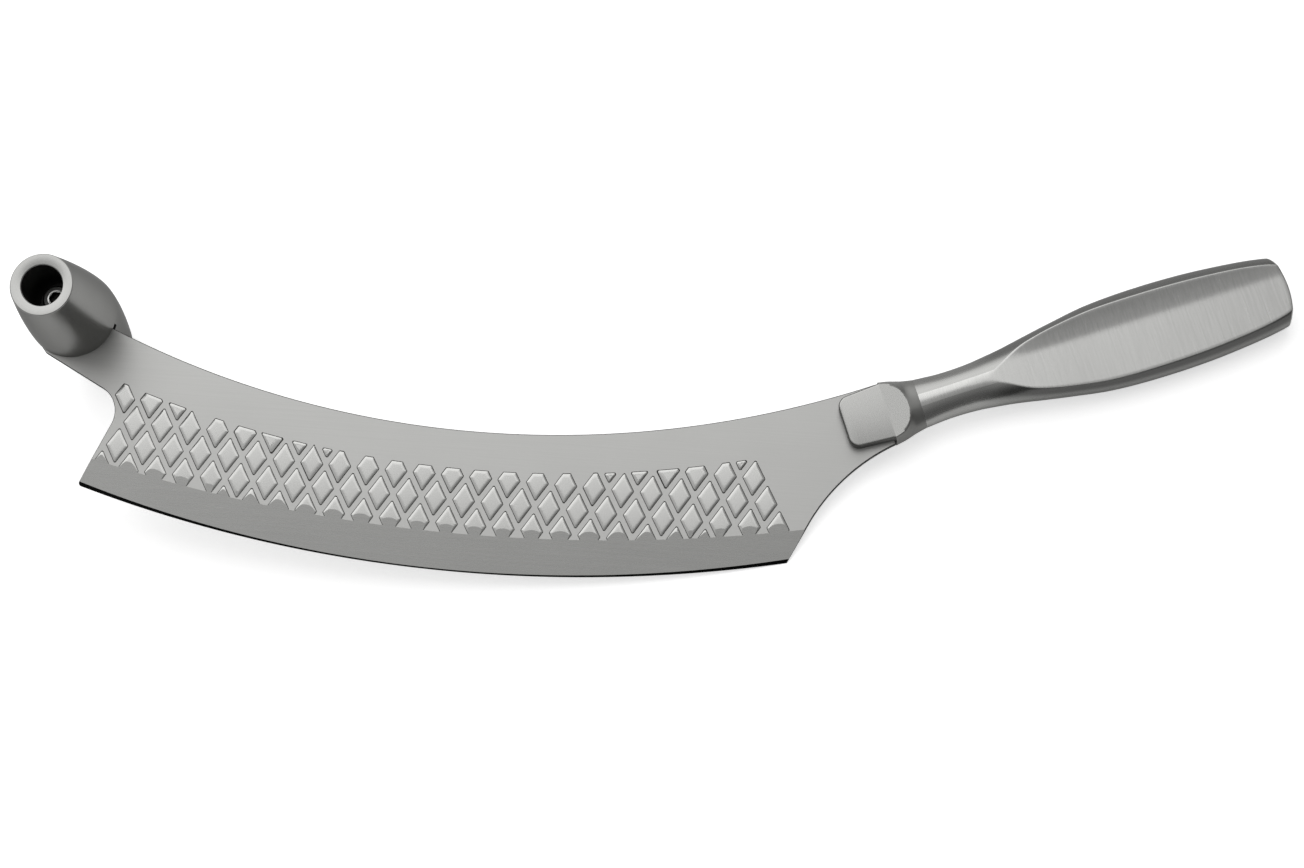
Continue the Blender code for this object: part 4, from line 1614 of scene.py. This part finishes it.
@dataclass
class CrossGrip(Piece):
    """The turned barrel across the tip, bored from both ends and slotted for the blade."""

    plan: Plan
    length: float = 71.2 * MM
    end_radius: float = 9.5 * MM
    belly: float = 1.45
    rim: float = 0.4 * MM
    rim_turns: tuple[float, ...] = (90, 70, 50, 30, 10)
    bore: float = 6.25 * MM
    bore_chamfer: float = 0.25 * MM
    end_dish: float = 0.40 * MM
    near_seat: float = 14.1 * MM
    far_seat: float = 12.5 * MM
    slot_half: float = 1.15 * MM
    sides: int = 144
    rings: int = 48
    crease_angle: float = 30.0

    finishes = (
        # turned and rubbed with emery: fine rings round the barrel
        SteelFinish(
            "turned_satin_barrel", "#A4A4A2", 0.33, Lay.TURNED, length=30 * MM, spacing=0.25 * MM,
            grazing=0.32,
        ),
        # faced in the lathe: circles that throw a bright fan
        SteelFinish("faced_ring", "#ACACAA", 0.25, Lay.FACED, anisotropy=0.4, tone=0.10),
        # drilled and left rough: a dull wall, painted dark as the shade inside the bore and the
        # slot
        SteelFinish(
            "drilled_bore_painted_shade", "#5A5A58", 0.45, Lay.TURNED, length=20 * MM, spacing=0.4 * MM
        ),
    )

    def radius(self, height: float) -> float:
        """Outer radius at a height from the middle."""
        widest, share = self.plan.grip_middle_radius, abs(height) / (self.length / 2)
        return widest - (widest - self.end_radius) * share**self.belly

    def profile(self) -> list[tuple[float, float, int]]:
        """Half section of the barrel.

        Returns:
            Radius, height and the finish of the band that follows.
        """
        barrel, ring, bore = GripFinish
        half, hole, cut = self.length / 2, self.plan.screw_hole_radius, self.bore_chamfer
        side = half - self.rim
        rim = []
        for turn in self.rim_turns:
            bend = math.radians(turn)
            radius = self.radius(side) - self.rim * (1 - math.cos(bend))
            rim.append((radius, side + self.rim * math.sin(bend), barrel))
        heights = [side - 2 * side * i / self.rings for i in range(self.rings + 1)]
        return [
            *rim,
            *((self.radius(height), height, barrel) for height in heights),
            *((radius, -height, barrel) for radius, height, _ in rim[:0:-1]),
            (rim[0][0], -rim[0][1], ring),
            (self.bore + cut, self.end_dish - half, ring),
            (self.bore, self.end_dish + cut - half, bore),
            (self.bore, -self.far_seat, bore),
            (hole, -self.far_seat, bore),
            (hole, self.near_seat, bore),
            (self.bore, self.near_seat, bore),
            (self.bore, half - cut - self.end_dish, ring),
            (self.bore + cut, half - self.end_dish, ring),
        ]

    def build(self, materials: list[Material]) -> Object:
        """Turn the barrel and cut its slot.

        Args:
            materials: in the order of GripFinish.

        Returns:
            The grip round its own axis.
        """
        plan = self.plan
        barrel = turned_body(self.profile(), self.sides, True)
        grip = barrel.placed("steel_cross_grip", materials)
        wide = plan.grip_middle_radius + plan.overcut
        axis, side, reach = plan.neck_axis * wide, plan.neck_side, plan.slot_reach
        near, far = side * reach, -side * wide
        corners = [near - axis, far - axis, far + axis, near + axis]
        carve(grip, [(prism(corners, self.slot_half, GripFinish.BORE), Join.CUT)])
        crease(grip, self.crease_angle, {frozenset({GripFinish.RING, GripFinish.BORE})})
        return grip


class ScrewFinish(IntEnum):
    """Order of the finishes on the screw."""

    HEAD = 0
    MOUTH = 1
    WALL = 2


@dataclass
class GripScrew(Piece):
    """The socket cap screw in the near bore."""

    shank: float = 2.5 * MM
    length: float = 25.0 * MM
    head: float = 4.25 * MM
    head_height: float = 5.0 * MM
    chamfer: float = 0.6 * MM
    mouth: float = 0.34 * MM
    mouth_depth: float = 0.075 * MM
    socket_width: float = 4.0 * MM
    socket_depth: float = 2.5 * MM
    socket_sides: int = 6
    socket_overcut: float = 1.0 * MM
    sides: int = 72
    crease_angle: float = 9.0

    finishes = (
        # cold headed and passivated, painted a darker grey as the shade of the bore
        SteelFinish("passivated_screw_head_painted_shade", "#787876", 0.40, Lay.FACED, spacing=0.2 * MM),
        # chamfer worn by the key, painted bright as a highlight round the socket
        SteelFinish("worn_socket_mouth_painted_highlight", "#D8D8D6", 0.24, Lay.FACED, spacing=0.2 * MM),
        # punched wall of the socket, painted dark as the shade inside it
        SteelFinish("punched_socket_wall_painted_shade", "#3C3C3A", 0.45, Lay.CAST),
    )

    def build(self, materials: list[Material]) -> Object:
        """Turn the screw and cut its hexagon socket.

        Args:
            materials: in the order of ScrewFinish.

        Returns:
            The screw with the underside of its head on the origin.
        """
        head, mouth, wall = ScrewFinish
        top, corner = self.head_height, self.socket_width / math.sqrt(3)
        turned = [
            (self.shank, -self.length, head),
            (self.shank, 0.0, head),
            (self.head, 0.0, head),
            (self.head, top - self.chamfer, head),
            (self.head - self.chamfer, top, head),
        ]
        socket = [
            (corner, top - self.socket_depth, wall),
            (corner, top + self.socket_overcut, wall),
        ]
        flare = [
            (corner, top - self.mouth_depth, mouth),
            (corner + 2 * self.mouth, top + self.mouth_depth, mouth),
        ]
        screw = turned_body(turned, self.sides, False).placed("steel_grip_screw", materials)
        hollows = (socket, self.socket_sides), (flare, self.sides)
        carve(screw, [(turned_body(*hollow, False), Join.CUT) for hollow in hollows])
        crease(screw, self.crease_angle)
        return screw


# Studio
@dataclass
class Studio:
    """Pale floor, one large soft box over the back half, a dim room and the camera."""

    floor_size: float = 10.0
    floor_colour: str = "#F0F0F0"
    floor_roughness: float = 0.95
    floor_lift: float = 0.58
    floor_in_steel: float = 0.15
    box_size: Pair = (2.0, 1.9)
    box_height: float = 1.30
    box_near: float = -0.12
    box_right: float = 0.40
    box_radiance: float = 0.82
    # the room is dim on the side away from this direction and pale toward it
    pale_side: Triple = (-0.60, 0.50, 0.62)
    dim_until: float = -0.3
    room_dim: float = 0.17
    room_pale: float = 0.80
    # the camera's own axes and its place in the blade's axes
    camera_axes: tuple[Triple, ...] = (
        (0.99058, 0.11983, -0.06625),
        (-0.10358, 0.97226, 0.20973),
        (0.08954, -0.20089, 0.97551),
    )
    camera_place: Triple = (0.13910, -0.13488, 0.82135)
    lens: float = 77.30
    sensor: float = 36.0
    clip: Pair = (0.01, 50.0)

    def floor(self) -> None:
        """Lay the floor, which keeps the knife's shadow and shows pale to eye and steel."""
        body, half = Body(), self.floor_size / 2
        corners = [(-half, -half, 0), (half, -half, 0), (half, half, 0), (-half, half, 0)]
        body.face(body.ring(corners))
        material = bpy.data.materials.new("matt_white_floor")
        material.use_nodes = True
        tree = material.node_tree
        path = add_node(tree, "ShaderNodeLightPath", {}, {}).outputs
        rays = {0: path["Is Glossy Ray"], 1: path["Is Transmission Ray"]}
        steel = add_node(tree, "ShaderNodeMath", {"operation": "MAXIMUM"}, rays)
        steel = multiplied(tree, steel, self.floor_in_steel)
        eye = {0: path["Is Camera Ray"], 1: self.floor_lift, 2: steel}
        lift = add_node(tree, "ShaderNodeMath", {"operation": "MULTIPLY_ADD"}, eye)
        sockets = {
            "Base Color": linear(self.floor_colour),
            "Roughness": self.floor_roughness,
            "Specular IOR Level": 0.0,
            "Emission Color": WHITE,
            "Emission Strength": lift,
        }
        fill(tree, tree.nodes["Principled BSDF"], sockets)
        floor = body.placed("floor", [material])

    def light(self) -> None:
        """Hang the soft box and fade the room from a dim front to a paler back."""
        width, depth = self.box_size
        lamp = bpy.data.lights.new("soft_box", "AREA")
        lamp.shape = "RECTANGLE"
        lamp.size, lamp.size_y = width, depth
        lamp.energy = self.box_radiance * math.pi * width * depth
        box = bpy.data.objects.new("soft_box", lamp)
        box.location = (self.box_right - width / 2, self.box_near + depth / 2, self.box_height)
        bpy.context.scene.collection.objects.link(box)
        world = bpy.data.worlds.new("room")
        world.use_nodes = True
        bpy.context.scene.world = world
        tree = world.node_tree
        place = add_node(tree, "ShaderNodeTexCoord", {}, {}).outputs["Generated"]
        turned = {0: place, 1: Vector(self.pale_side).normalized()}
        facing = add_node(tree, "ShaderNodeVectorMath", {"operation": "DOT_PRODUCT"}, turned)
        fade = {
            "Value": facing.outputs["Value"],
            "From Min": self.dim_until,
            "From Max": 1.0,
            "To Min": self.room_dim,
            "To Max": self.room_pale,
        }
        tone = add_node(tree, "ShaderNodeMapRange", {"interpolation_type": "SMOOTHSTEP"}, fade)
        fill(tree, tree.nodes["Background"], {"Color": WHITE, "Strength": tone})

    def camera(self, rest: Matrix) -> None:
        """Set the camera where the photograph was taken from.

        Args:
            rest: matrix from the blade's axes to the world's.
        """
        data = bpy.data.cameras.new("photo_camera")
        data.lens = self.lens
        data.sensor_width = self.sensor
        data.sensor_fit = "HORIZONTAL"
        data.clip_start, data.clip_end = self.clip
        camera = bpy.data.objects.new("photo_camera", data)
        place = Matrix(self.camera_axes).transposed().to_4x4()
        place.translation = self.camera_place
        camera.matrix_world = rest @ place
        bpy.context.scene.collection.objects.link(camera)
        bpy.context.scene.camera = camera


def main() -> None:
    """Build the knife piece by piece, then the studio round it."""
    logging.basicConfig(level=logging.INFO, format="%(name)s: %(message)s", stream=sys.stdout)
    plan = Plan()
    rest = Rest().matrix()
    lying = rest @ plan.handle_matrix()
    standing = rest @ Matrix.Translation((*plan.grip, 0.0))
    handle, grip = Handle(plan), CrossGrip(plan)
    seat = standing @ Matrix.Translation((0.0, 0.0, grip.near_seat + plan.clearance))
    pieces = (
        (Blade(plan), rest, "blade", "blade_steel"),
        (Bolster(plan, handle), lying, "bolster", "bolster_steel"),
        (handle, lying, "handle_shell", "handle_steel"),
        (grip, standing, "cross_grip", "grip_steel"),
        (GripScrew(), seat, "grip_screw", "screw_steel"),
    )
    for maker, matrix, node, slot in pieces:
        hand_in(maker.build(maker.dress(matrix)), matrix, node)
    studio = Studio()
    studio.floor()
    studio.light()
    studio.camera(rest)
    bpy.context.scene.view_settings.view_transform = "Standard"


if __name__ == "__main__":
    main()
